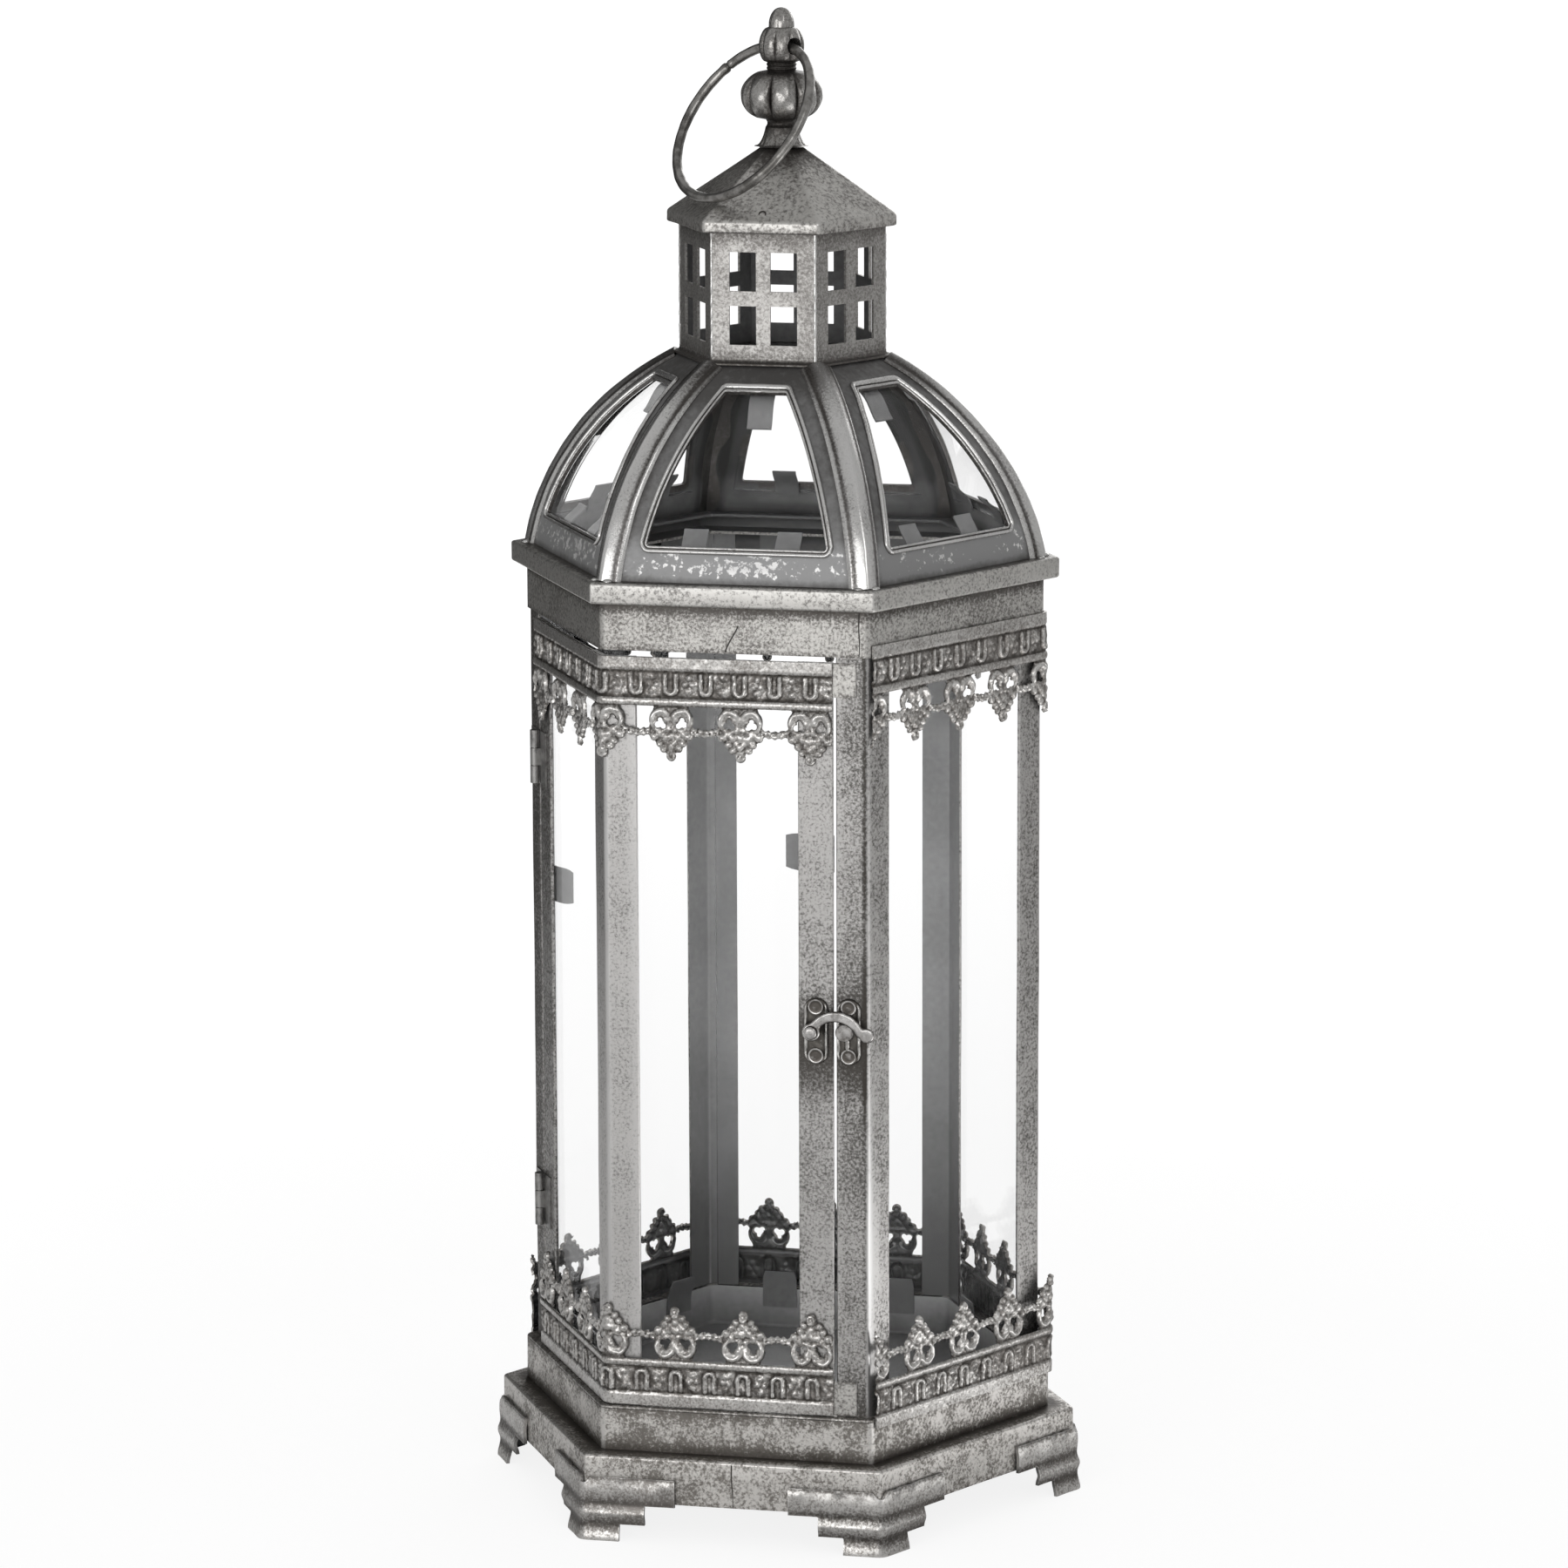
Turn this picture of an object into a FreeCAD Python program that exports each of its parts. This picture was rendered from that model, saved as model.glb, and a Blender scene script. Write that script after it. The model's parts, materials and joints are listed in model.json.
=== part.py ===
import FreeCAD, Part
import math
import os

# Hexagonal candle lantern. Millimetres, +Z up, origin on the ground under the middle.
# Corners stand at 0, 60, ... 300 degrees; side 0 is the front and faces -Y.

V = FreeCAD.Vector
COS30 = math.cos(math.radians(30))
TAN30 = math.tan(math.radians(30))

# Corner radii of the hexagons, and how far one steps out or in from the next
body_corner_radius = 90.0
plinth_step = 4.1
base_ledge = 8.5
cornice_overhang = 6.3
cornice_lip = 8.0
dome_foot_inset = 0.2
cupola_corner_radius = 36.0
dome_neck_margin = 1.0
cupola_flange = 3.0
eave_overhang = 4.1
roof_cap_radius = 7.0

# Heights, from the ground up
apron_clearance = 13.4
apron_height = 16.2
plinth_height = 15.4
body_height = 277.5
head_band_height = 16.0
cornice_height = 7.1
dome_height = 67.4
cupola_height = 44.6
eave_height = 4.4
roof_rise = 22.0

# Sheet and glass
sheet = 1.0
stamped_sheet = 0.8
foot_sheet = 1.2
clip_sheet = 0.6
glass = 2.0
dome_glass = 1.5

# Clearances
door_gap = 1.0
door_floor_gap = 0.5
door_head_gap = 2.0
part_gap = 0.3
pin_clearance = 0.04
overcut = 1.0

# Feet: wing length and height of each step, from the top down
foot_steps = [(31.5, 9.6), (21.0, 6.9), (12.2, 5.8)]

# Posts, door frame and panes
post_wing = 11.2
stile_width = 12.0
rail_height = 11.6
rail_stop_reach = 8.0
pane_edge_gap = 1.6
clip_width = 12.5
clip_length = 13.2
clip_overlap = 6.4
clip_places = [-25.0, 18.0]
door_clip_places = [-9.0, 11.0]
stile_clip_length = 17.0
hinge_clip_height = 167.0
latch_clip_height = 194.0

# Stamped galleries
gallery_strip = 16.3
drops_per_side = 4
gallery_lap = 4.0
chain_bar = 2.2
chain_level = 8.4
scroll_place = 3.9
scroll_radius = 3.6
scroll_hole_radius = 1.9
stem_width = 2.4
leaf_place = 4.6
leaf_level = 8.8
leaf_radius = 2.4
bud_leaf_level = 11.6
bud_leaf_radius = 3.3
drop_tip_level = 16.2
drop_tip_radius = 2.8

# Dome windows, ribs and beads
dome_bulge = 9.2
dome_rib_width = 8.0
dome_rib_proud = 1.8
window_sill_drop = 11.6
window_head_drop = 7.5
window_sill_width = 62.0
window_head_width = 21.0
bead_width = 2.0
bead_proud = 1.2
dome_pane_lap = 3.0
dome_clip_width = 8.0
dome_clip_height = 7.0
dome_clip_place = 15.0

# Cupola openings
vent_width = 9.2
vent_height = 13.2
vent_column_gap = 4.9
vent_row_gap = 5.0

# Finial, from the roof cap up: radii and heights of the turned profile
finial_foot_radius = 9.0
finial_neck_radius = 5.6
ball_radius = 13.9
ball_height = 16.6
collar_radius = 4.8
bud_radius = 7.7
bud_height = 12.0
tip_radius = 4.3
tip_height = 6.6
finial_foot_height = 6.4
foot_hollow = 0.6
swell_steps = 8
swell_fullness = 0.75
finial_neck_height = 2.6
collar_height = 2.6
stud_radius = 2.0
stud_length = 7.0
nut_radius = 4.5
nut_height = 3.0

# Carry ring and the hole it hangs in
ring_radius = 29.8
wire_radius = 1.7
ring_hole_clearance = 0.25
ring_hole_level = 5.76
ring_turn = -40.0
ring_lean_limits = (5.0, 85.0)
ring_lean_tries = 40
ring_samples = 720

# Hinges
hinge_height = 18.6
hinge_levels = [0.165, 0.776]
hinge_barrel_radius = 1.6
hinge_pin_radius = 0.9
leaf_sheet = 0.6
leaf_width = 8.5
knuckle_count = 3

# Latch
latch_level = 134.0
latch_plate_width = 8.3
latch_plate_height = 22.8
latch_plate_sheet = 1.0
latch_rivet_radius = 2.7
latch_rivet_height = 0.6
latch_rivet_spread = 8.4
latch_plate_margin = 1.7
catch_plate_margin = 0.2
latch_pin_offset = 1.2
pivot_radius = 1.5
pivot_head_radius = 2.2
pivot_head_height = 1.0
hook_thickness = 2.0
hook_eye_radius = 3.0
hook_bar = 2.6
hook_arch_radius = 9.0
hook_arch_drop = 3.3
hook_arch_end = 25.0
hook_tail_radius = 2.4
hook_tail_reach = 2.0
hook_tail_drop = 0.6
peg_gap = 0.4
peg_engagement = 0.8

# Derived corner radii
plinth_corner_radius = body_corner_radius + plinth_step
base_corner_radius = plinth_corner_radius + base_ledge
cornice_corner_radius = body_corner_radius + cornice_overhang
cornice_inner_radius = body_corner_radius - cornice_lip
dome_foot_radius = body_corner_radius - dome_foot_inset
dome_neck_radius = cupola_corner_radius + dome_neck_margin
cupola_flange_radius = cupola_corner_radius + cupola_flange
eave_corner_radius = cupola_corner_radius + eave_overhang

# Derived heights
base_top = apron_clearance + apron_height
plinth_top = base_top + plinth_height
head_top = plinth_top + body_height
head_bottom = head_top - head_band_height
cornice_top = head_top + cornice_height
dome_top = cornice_top + dome_height
cupola_top = dome_top + cupola_height
eave_top = cupola_top + eave_height
roof_top = eave_top + roof_rise
door_bottom = plinth_top + door_floor_gap
door_top = head_bottom - door_head_gap
door_height = door_top - door_bottom

# Derived distances from the axis to the sides
body_face = body_corner_radius * COS30
base_face = base_corner_radius * COS30
plinth_face = plinth_corner_radius * COS30
head_face = body_face + sheet
post_inside = body_face - sheet
pane_inside = post_inside - glass
clip_inside = pane_inside - clip_sheet
body_half_width = body_corner_radius / 2
pane_half_width = clip_inside * TAN30 - pane_edge_gap
gallery_depth = gallery_strip + drop_tip_level + drop_tip_radius
drop_half_width = scroll_place + scroll_radius

FRONT, RIGHT_FRONT, RIGHT_BACK, BACK, LEFT_BACK, LEFT_FRONT = range(6)
parts = {}


def side_axes(side):
    """Outward normal and left-to-right direction of a side, seen from outside."""
    turn = math.radians(-90 + 60 * side)
    normal = V(math.cos(turn), math.sin(turn), 0)
    return normal, V(-normal.y, normal.x, 0)


def side_point(side, along, out, height):
    normal, across = side_axes(side)
    return normal * out + across * along + V(0, 0, height)


def polygon_face(points):
    return Part.Face(Part.makePolygon(points + points[:1]))


def hexagon(radius, height):
    return [V(radius * math.cos(math.radians(60 * i)), radius * math.sin(math.radians(60 * i)), height)
            for i in range(6)]


def hex_block(radius, low, high):
    return polygon_face(hexagon(radius, low)).extrude(V(0, 0, high - low))


def hex_tube(radius, wall, low, high):
    bore = hex_block(radius - wall / COS30, low - overcut, high + overcut)
    return hex_block(radius, low, high).cut(bore)


def side_plate(side, outline, inner, outer):
    """Flat plate on a side, from its outline of (along, height) points."""
    normal = side_axes(side)[0]
    face = polygon_face([side_point(side, along, inner, height) for along, height in outline])
    return face.extrude(normal * (outer - inner))


def side_box(side, left, right, low, high, inner, outer):
    return side_plate(side, [(left, low), (right, low), (right, high), (left, high)], inner, outer)


def side_disc(side, along, height, radius, inner, outer):
    normal = side_axes(side)[0]
    return Part.makeCylinder(radius, outer - inner, side_point(side, along, inner, height), normal)


def wedge(side, reach, low, high):
    """The sixth of the space in front of one side, between its two corners."""
    half = reach * TAN30
    points = [V(0, 0, low), side_point(side, -half, reach, low), side_point(side, half, reach, low)]
    return polygon_face(points).extrude(V(0, 0, high - low))


def joined(shapes):
    shape = shapes[0].multiFuse(shapes[1:]) if len(shapes) > 1 else shapes[0]
    return shape.removeSplitter()


def bent_plate(side, left, right, low, high, inner, outer):
    """One strip bent over two sides: from left on this side to right on the next one."""
    next_side = (side + 1) % 6
    reach = outer * 2
    first = side_box(side, left, reach, low, high, inner, outer).common(wedge(side, reach, low, high))
    second = side_box(next_side, -reach, right, low, high, inner, outer)
    return joined([first, second.common(wedge(next_side, reach, low, high))])


def corner_post(corner, low, high, left_wing, right_wing):
    """V-bent sheet round the corner at the right end of side number corner."""
    half = body_half_width
    return bent_plate(corner, half - left_wing, right_wing - half, low, high, post_inside, body_face)


# Base, feet, plinth and floor
def build_base():
    tray = hex_block(base_corner_radius, apron_clearance, base_top)
    hollow = hex_block(base_corner_radius - sheet / COS30, apron_clearance - overcut, base_top - sheet)
    parts["base_pan"] = tray.cut(hollow)
    parts["plinth_band"] = hex_tube(plinth_corner_radius, sheet, base_top, plinth_top - sheet)
    parts["floor_plate"] = floor_tray()


def floor_tray():
    """Sunken floor: a flange on the plinth, which carries posts and panes, round a well down to the base."""
    well_radius = pane_inside / COS30
    flange = hex_block(plinth_corner_radius, plinth_top - sheet, plinth_top)
    walls = hex_block(well_radius + sheet / COS30, base_top, plinth_top)
    well = hex_block(well_radius, base_top + sheet, plinth_top + overcut)
    return joined([flange, walls]).cut(well)


def foot(corner):
    """Two stepped wings bent round one corner of the apron."""
    outer = base_face + foot_sheet
    half = outer * TAN30
    bands = []
    high = sum(height for length, height in foot_steps)
    for length, height in foot_steps:
        bands.append(bent_plate(corner, half - length, length - half, high - height, high, base_face, outer))
        high -= height
    return joined(bands)


def build_feet():
    names = ["front_right", "right", "back_right", "back_left", "left", "front_left"]
    for corner, name in enumerate(names):
        parts["foot_" + name] = foot(corner)


# Posts, head band, cornice and fixed panes
def build_frame():
    hinge_wing = post_wing - door_gap / 2
    for corner, name in [(RIGHT_FRONT, "right"), (RIGHT_BACK, "back_right"), (BACK, "back_left")]:
        parts["post_" + name] = corner_post(corner, plinth_top, head_top, post_wing, post_wing)
    parts["post_left"] = corner_post(LEFT_BACK, plinth_top, head_top, post_wing, hinge_wing)
    parts["post_front_right"] = corner_post(FRONT, plinth_top, head_top, hinge_wing, post_wing)
    parts["head_band"] = hex_tube(head_face / COS30, sheet, head_bottom, head_top)
    rim = hex_block(cornice_corner_radius, head_top, cornice_top)
    channel = hex_block(cornice_corner_radius - sheet / COS30, head_top + sheet, cornice_top - sheet)
    bore = hex_block(cornice_inner_radius, head_top - overcut, cornice_top + overcut)
    parts["cornice_rim"] = rim.cut(channel).cut(bore)


def pane_clip(side, along, bottom):
    """Tin tab flat on the inside of a pane, standing at the given height."""
    half = clip_width / 2
    return side_box(side, along - half, along + half, bottom, bottom + clip_length, clip_inside, pane_inside)


def build_fixed_panes():
    clips = []
    pane_top = head_top - sheet
    for side, name in [(RIGHT_FRONT, "right_front"), (RIGHT_BACK, "right_back"), (BACK, "back"),
                       (LEFT_BACK, "left_back")]:
        parts["pane_" + name] = side_box(side, -pane_half_width, pane_half_width, plinth_top, pane_top,
                                         pane_inside, post_inside)
        for bottom in (plinth_top + clip_overlap - clip_length, head_top - clip_length):
            clips += [pane_clip(side, along, bottom) for along in clip_places]
    parts["pane_clips"] = Part.makeCompound(clips)


# Stamped galleries
def gallery_drop():
    """One fleur drop: two pierced scrolls on a stem, two side leaves, a bud and a tip."""
    thickness = stamped_sheet
    discs = [(0, leaf_level, leaf_radius), (0, bud_leaf_level, bud_leaf_radius),
             (0, drop_tip_level, drop_tip_radius)]
    for mirror in (-1, 1):
        discs.append((mirror * scroll_place, scroll_radius, scroll_radius))
        discs.append((mirror * leaf_place, leaf_level, leaf_radius))
    pieces = [Part.makeCylinder(radius, thickness, V(along, gallery_strip + level, 0))
              for along, level, radius in discs]
    stem = Part.makeBox(stem_width, bud_leaf_level, thickness, V(-stem_width / 2, gallery_strip, 0))
    link = Part.makeBox(2 * leaf_place, leaf_radius, thickness,
                        V(-leaf_place, gallery_strip + leaf_level - leaf_radius / 2, 0))
    roots = [Part.makeBox(scroll_radius, scroll_radius, thickness,
                          V(mirror * scroll_place - scroll_radius / 2, gallery_strip - scroll_radius / 2, 0))
             for mirror in (-1, 1)]
    drop = joined(pieces + [stem, link] + roots)
    for mirror in (-1, 1):
        middle = V(mirror * scroll_place, gallery_strip + scroll_radius, -overcut)
        drop = drop.cut(Part.makeCylinder(scroll_hole_radius, thickness + 2 * overcut, middle))
    return drop


def gallery_run(side, left, right, places, edge_height, inner, hangs):
    """One side's stretch of a gallery, with a drop at each of its places along the side."""
    thickness = stamped_sheet
    pieces = [Part.makeBox(right - left, gallery_strip, thickness, V(left, 0, 0)),
              Part.makeBox(right - left, chain_bar, thickness, V(left, gallery_strip + chain_level, 0))]
    drop = gallery_drop()
    limits = Part.makeBox(right - left, gallery_depth * 2, thickness, V(left, 0, 0))
    for place in places:
        moved = drop.copy()
        moved.translate(V(place, 0, 0))
        pieces.append(moved.common(limits))
    run = joined(pieces)
    normal, across = side_axes(side)
    sign = -1 if hangs else 1
    origin = normal * inner + V(0, 0, edge_height)
    place = FreeCAD.Matrix(across.x * sign, 0, normal.x, origin.x,
                           across.y * sign, 0, normal.y, origin.y,
                           0, sign, 0, origin.z,
                           0, 0, 0, 1)
    run.transformShape(place)
    return run


def gallery(side, left, right, edge_height, inner, hangs, places):
    """A gallery bent over a side and the next one; left and right are its two ends."""
    next_side = (side + 1) % 6
    reach = (inner + stamped_sheet) * TAN30
    low = edge_height - gallery_depth * 2
    high = edge_height + gallery_depth * 2
    turn = -1 if hangs else 1
    kept = ([drop for drop in places[0] if drop > left], [drop for drop in places[1] if drop < right])
    runs = []
    for number, start, end, drops in [(side, left, reach, kept[0]), (next_side, -reach, right, kept[1])]:
        ends = sorted([start * turn, end * turn])
        run = gallery_run(number, *ends, [drop * turn for drop in drops], edge_height, inner, hangs)
        runs.append(run.common(wedge(number, inner * 2, low, high)))
    return joined(runs)


def drop_pitch(inner):
    """Spacing of the drops when a whole number of them fills a side."""
    return 2 * (inner + stamped_sheet / 2) * TAN30 / drops_per_side


def build_galleries():
    upper_edge = head_bottom + gallery_lap
    lower_edge = plinth_top + sheet - gallery_lap
    for side, name in [(RIGHT_FRONT, "right"), (BACK, "back")]:
        for level, edge, inner, hangs in [("upper", upper_edge, head_face, True),
                                          ("lower", lower_edge, plinth_face, False)]:
            reach = (inner + stamped_sheet) * TAN30
            half_count = drops_per_side // 2
            places = [step * drop_pitch(inner) for step in range(-half_count, half_count + 1)]
            strip = gallery(side, -reach, reach, edge, inner, hangs, (places, places))
            parts["gallery_" + level + "_" + name] = strip


# Dome
def dome_arc():
    """Centre and radius of a gore's outer arc, in (distance from axis, height)."""
    foot_out = dome_foot_radius * COS30
    neck_out = dome_neck_radius * COS30
    run = neck_out - foot_out
    chord = math.hypot(run, dome_height)
    radius = ((chord / 2) ** 2 + dome_bulge ** 2) / (2 * dome_bulge)
    away = (dome_height / chord, -run / chord)
    middle = ((foot_out + neck_out) / 2, cornice_top + dome_height / 2)
    centre = (middle[0] - away[0] * (radius - dome_bulge), middle[1] - away[1] * (radius - dome_bulge))
    return centre, radius


def dome_shell(side, inner, outer, half_width, low, high):
    """Sheet between two arcs about the gore's centre line, straight across the side."""
    (out, height), radius = dome_arc()
    normal, across = side_axes(side)
    start = side_point(side, -half_width, out, height)
    length = across * (2 * half_width)
    ring = []
    for offset in (outer, inner):
        circle = Part.Circle(start, across, radius + offset)
        ring.append(Part.Face(Part.Wire(circle.toShape())).extrude(length))
    limits = side_box(side, -half_width - overcut, half_width + overcut, low, high, 0, out + radius * 2)
    return ring[0].cut(ring[1]).common(limits)


def window_outline(grow):
    """Trapezium of a dome window, grown outwards by a margin."""
    low = cornice_top + window_sill_drop - grow
    high = dome_top - window_head_drop + grow
    slope = (window_sill_width - window_head_width) / 2 / (dome_height - window_sill_drop - window_head_drop)
    side_grow = grow * math.hypot(1, slope)
    bottom = window_sill_width / 2 + side_grow + slope * grow
    top = window_head_width / 2 + side_grow - slope * grow
    return [(-bottom, low), (bottom, low), (top, high), (-top, high)]


def window_block(side, grow):
    return side_plate(side, window_outline(grow), 0, body_corner_radius * 2)


def build_dome():
    reach = dome_foot_radius * 2
    half = dome_foot_radius
    panes, beads, clips, ribs = [], [], [], []
    names = ["front", "right_front", "right_back", "back", "left_back", "left_front"]
    fills = []
    for side, name in enumerate(names):
        sector = wedge(side, reach, cornice_top, dome_top)
        opening = window_block(side, 0)
        gore = dome_shell(side, -sheet, 0, half, cornice_top, dome_top).common(sector)
        parts["dome_gore_" + name] = gore.cut(opening)
        bead = dome_shell(side, part_gap / 2, bead_proud, half, cornice_top, dome_top)
        beads.append(bead.common(window_block(side, bead_width)).cut(opening))
        glass_outer = -sheet - part_gap / 2
        pane = dome_shell(side, glass_outer - dome_glass, glass_outer, half, cornice_top, dome_top)
        panes.append(pane.common(window_block(side, dome_pane_lap)))
        clips += [dome_clip(side, along, glass_outer - dome_glass) for along in
                  (-dome_clip_place, dome_clip_place)]
        fills.append(dome_shell(side, -dome_rib_width, part_gap / 2, half, cornice_top, dome_top))
    for corner in range(6):
        ribs.append(dome_rib(corner, fills[corner], fills[(corner + 1) % 6]))
    parts["dome_ribs"] = Part.makeCompound(ribs)
    parts["dome_panes"] = Part.makeCompound(panes)
    parts["dome_window_beads"] = Part.makeCompound(beads)
    parts["dome_clips"] = Part.makeCompound(clips)


def dome_clip(side, along, glass_inner):
    """Tin tab at the foot of a curved pane: a tongue on the glass and a root on the gore."""
    sill = window_outline(dome_pane_lap)[0][1]
    low = sill - part_gap - clip_sheet
    high = sill + dome_pane_lap + dome_clip_height
    half = dome_clip_width / 2
    inner = glass_inner - part_gap / 2 - clip_sheet
    strip = side_box(side, along - half, along + half, low, high, 0, body_corner_radius * 2)
    tongue = dome_shell(side, inner, inner + clip_sheet, dome_foot_radius, low, high)
    root = dome_shell(side, inner, -sheet - part_gap / 2, dome_foot_radius, low, low + clip_sheet)
    return joined([tongue.common(strip), root.common(strip)])


def dome_rib(corner, left_fill, right_fill):
    """Half-round strip over one joint: a band along the ridge, cut to sit on both gores."""
    (out, height), radius = dome_arc()
    turn = math.radians(-60 + 60 * corner)
    ray = V(math.cos(turn), math.sin(turn), 0)
    across = V(-ray.y, ray.x, 0)

    def ridge(level, proud):
        slope = (level - height) / radius
        reach = out + radius * math.sqrt(1 - slope ** 2)
        return ray * (reach / COS30 + proud) + V(0, 0, level)

    levels = [cornice_top, cornice_top + dome_height / 2, dome_top]
    outer = Part.Arc(*[ridge(level, dome_rib_proud) for level in levels])
    inner = Part.Arc(*[ridge(level, -dome_rib_width / 2) for level in levels])
    ends = [Part.LineSegment(outer.EndPoint, inner.EndPoint),
            Part.LineSegment(inner.StartPoint, outer.StartPoint)]
    wire = Part.Wire([outer.toShape(), ends[0].toShape(), inner.toShape(), ends[1].toShape()])
    band = Part.Face(wire).extrude(across * dome_rib_width)
    band.translate(across * (-dome_rib_width / 2))
    return band.cut(left_fill).cut(right_fill)


# Cupola, roof and finial
def build_cupola():
    flange = hex_tube(cupola_flange_radius, (cupola_flange_radius - cupola_corner_radius) * COS30 + sheet,
                      dome_top, dome_top + sheet)
    walls = hex_tube(cupola_corner_radius, sheet, dome_top, cupola_top)
    shell = joined([flange, walls])
    middle = (dome_top + cupola_top) / 2
    for side in range(6):
        for column in (-1, 1):
            for row in (-1, 1):
                along = column * (vent_column_gap + vent_width) / 2
                level = middle + row * (vent_row_gap + vent_height) / 2
                shell = shell.cut(side_box(side, along - vent_width / 2, along + vent_width / 2,
                                           level - vent_height / 2, level + vent_height / 2,
                                           cupola_corner_radius / 2, cupola_corner_radius))
    parts["cupola"] = shell


def hex_frustum(low_radius, low, high_radius, high):
    wires = [Part.makePolygon(hexagon(radius, z) + hexagon(radius, z)[:1])
             for radius, z in ((low_radius, low), (high_radius, high))]
    return Part.makeLoft(wires, True, True)


def build_roof():
    eave = hex_block(eave_corner_radius, cupola_top, eave_top)
    slope = hex_frustum(eave_corner_radius, eave_top, roof_cap_radius, roof_top)
    wall = sheet / COS30
    hollow_low = hex_block(eave_corner_radius - wall, cupola_top + sheet, eave_top)
    hollow = hex_frustum(eave_corner_radius - wall, eave_top, roof_cap_radius - wall, roof_top - sheet)
    mouth = hex_block(cupola_corner_radius - 2 * wall, cupola_top - overcut, cupola_top + sheet + overcut)
    stud_hole = Part.makeCylinder(stud_radius + pin_clearance, sheet * 3, V(0, 0, roof_top - sheet * 2))
    parts["cupola_roof"] = joined([eave, slope]).cut(joined([hollow_low, hollow])).cut(mouth).cut(stud_hole)


def finial_levels():
    """Heights of the finial's turned stages, from its seat on the roof cap up."""
    levels = [roof_top]
    for step in (finial_foot_height, finial_neck_height, ball_height, collar_height, bud_height, tip_height):
        levels.append(levels[-1] + step)
    return levels


def ring_pivot_height():
    return finial_levels()[4] + ring_hole_level


def ring_axis():
    turn = math.radians(ring_turn)
    return V(math.cos(turn), math.sin(turn), 0)


def build_finial():
    seat, foot_top, neck_top, ball_top, collar_top, bud_top, tip_top = finial_levels()

    def at(radius, height):
        return V(radius, 0, height)

    def arc(start, middle, end):
        return Part.Arc(at(*start), at(*middle), at(*end)).toShape()

    def line(start, end):
        return Part.LineSegment(at(*start), at(*end)).toShape()

    def swell(low_radius, low, widest, high_radius, high):
        """Smooth bulge from one radius to another, widest in the middle."""
        mean = (low_radius + high_radius) / 2
        points = []
        for step in range(swell_steps + 1):
            share = step / swell_steps
            straight = low_radius + (high_radius - low_radius) * share
            bulge = (widest - mean) * math.sin(math.pi * share) ** swell_fullness
            points.append(at(straight + bulge, low + (high - low) * share))
        curve = Part.BSplineCurve()
        curve.interpolate(points)
        return curve.toShape()

    tip_middle = tip_top - tip_radius
    tip_neck_radius = math.sqrt(tip_radius ** 2 - (tip_middle - bud_top) ** 2)
    foot_middle = ((finial_foot_radius + finial_neck_radius) / 2 - foot_hollow, (seat + foot_top) / 2)
    edges = [line((0, seat - stud_length), (stud_radius, seat - stud_length)),
             line((stud_radius, seat - stud_length), (stud_radius, seat)),
             line((stud_radius, seat), (finial_foot_radius, seat)),
             arc((finial_foot_radius, seat), foot_middle, (finial_neck_radius, foot_top)),
             line((finial_neck_radius, foot_top), (finial_neck_radius, neck_top)),
             swell(finial_neck_radius, neck_top, ball_radius, collar_radius, ball_top),
             line((collar_radius, ball_top), (collar_radius, collar_top)),
             swell(collar_radius, collar_top, bud_radius, tip_neck_radius, bud_top),
             arc((tip_neck_radius, bud_top), (tip_radius, tip_middle), (0, tip_top)),
             line((0, tip_top), (0, seat - stud_length))]
    turned = Part.Face(Part.Wire(edges)).revolve(V(0, 0, 0), V(0, 0, 1), 360)
    axis = ring_axis()
    half = bud_radius * 2
    hole = Part.makeCylinder(ring_hole_radius(), half * 2, V(0, 0, ring_pivot_height()) - axis * half, axis)
    parts["finial"] = turned.cut(hole)
    nut = polygon_face(hexagon(nut_radius, roof_top - sheet - nut_height)).extrude(V(0, 0, nut_height))
    thread = Part.makeCylinder(stud_radius + pin_clearance, nut_height * 3,
                               V(0, 0, roof_top - sheet - nut_height * 2))
    parts["finial_nut"] = nut.cut(thread)


def ring_hole_radius():
    """Hole that lets the curved wire through: wire, its rise across the bud, clearance."""
    rise = ring_radius - math.sqrt(ring_radius ** 2 - bud_radius ** 2)
    return wire_radius + rise + ring_hole_clearance


def ring_direction(lean):
    """Unit vector from the pivot to the ring's middle, leaned out from straight down."""
    axis = ring_axis()
    outward = V(axis.y, -axis.x, 0)
    return outward * math.sin(lean) - V(0, 0, math.cos(lean))


def ring_gap(lean):
    """Smallest distance from the wire to the roof's slopes and eave at a lean angle."""
    axis = ring_axis()
    down = ring_direction(lean)
    middle = V(0, 0, ring_pivot_height()) + down * ring_radius
    run = (eave_corner_radius - roof_cap_radius) * COS30
    length = math.hypot(run, roof_rise)
    smallest = ring_radius
    for step in range(ring_samples):
        turn = 2 * math.pi * step / ring_samples
        point = middle - down * (ring_radius * math.cos(turn)) + axis * (ring_radius * math.sin(turn))
        if point.z > roof_top:
            continue
        reach = max(point.dot(side_axes(side)[0]) for side in range(6))
        to_slope = ((reach - eave_corner_radius * COS30) * roof_rise + (point.z - eave_top) * run) / length
        smallest = min(smallest, to_slope - wire_radius)
    return smallest


def ring_rest_lean():
    """Lean at which the wire comes to rest just clear of the roof."""
    low, high = [math.radians(limit) for limit in ring_lean_limits]
    for step in range(ring_lean_tries):
        lean = (low + high) / 2
        if ring_gap(lean) < part_gap:
            low = lean
        else:
            high = lean
    return high


def build_ring():
    down = ring_direction(ring_rest_lean())
    middle = V(0, 0, ring_pivot_height()) + down * ring_radius
    plane_normal = ring_axis().cross(down)
    parts["carry_ring"] = Part.makeTorus(ring_radius, wire_radius, middle, plane_normal)


# Hinges
def hinge_line():
    """Distance along the left front side and out from the axis of the hinge pins."""
    return post_wing - body_half_width, body_face + hinge_barrel_radius + part_gap


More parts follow.
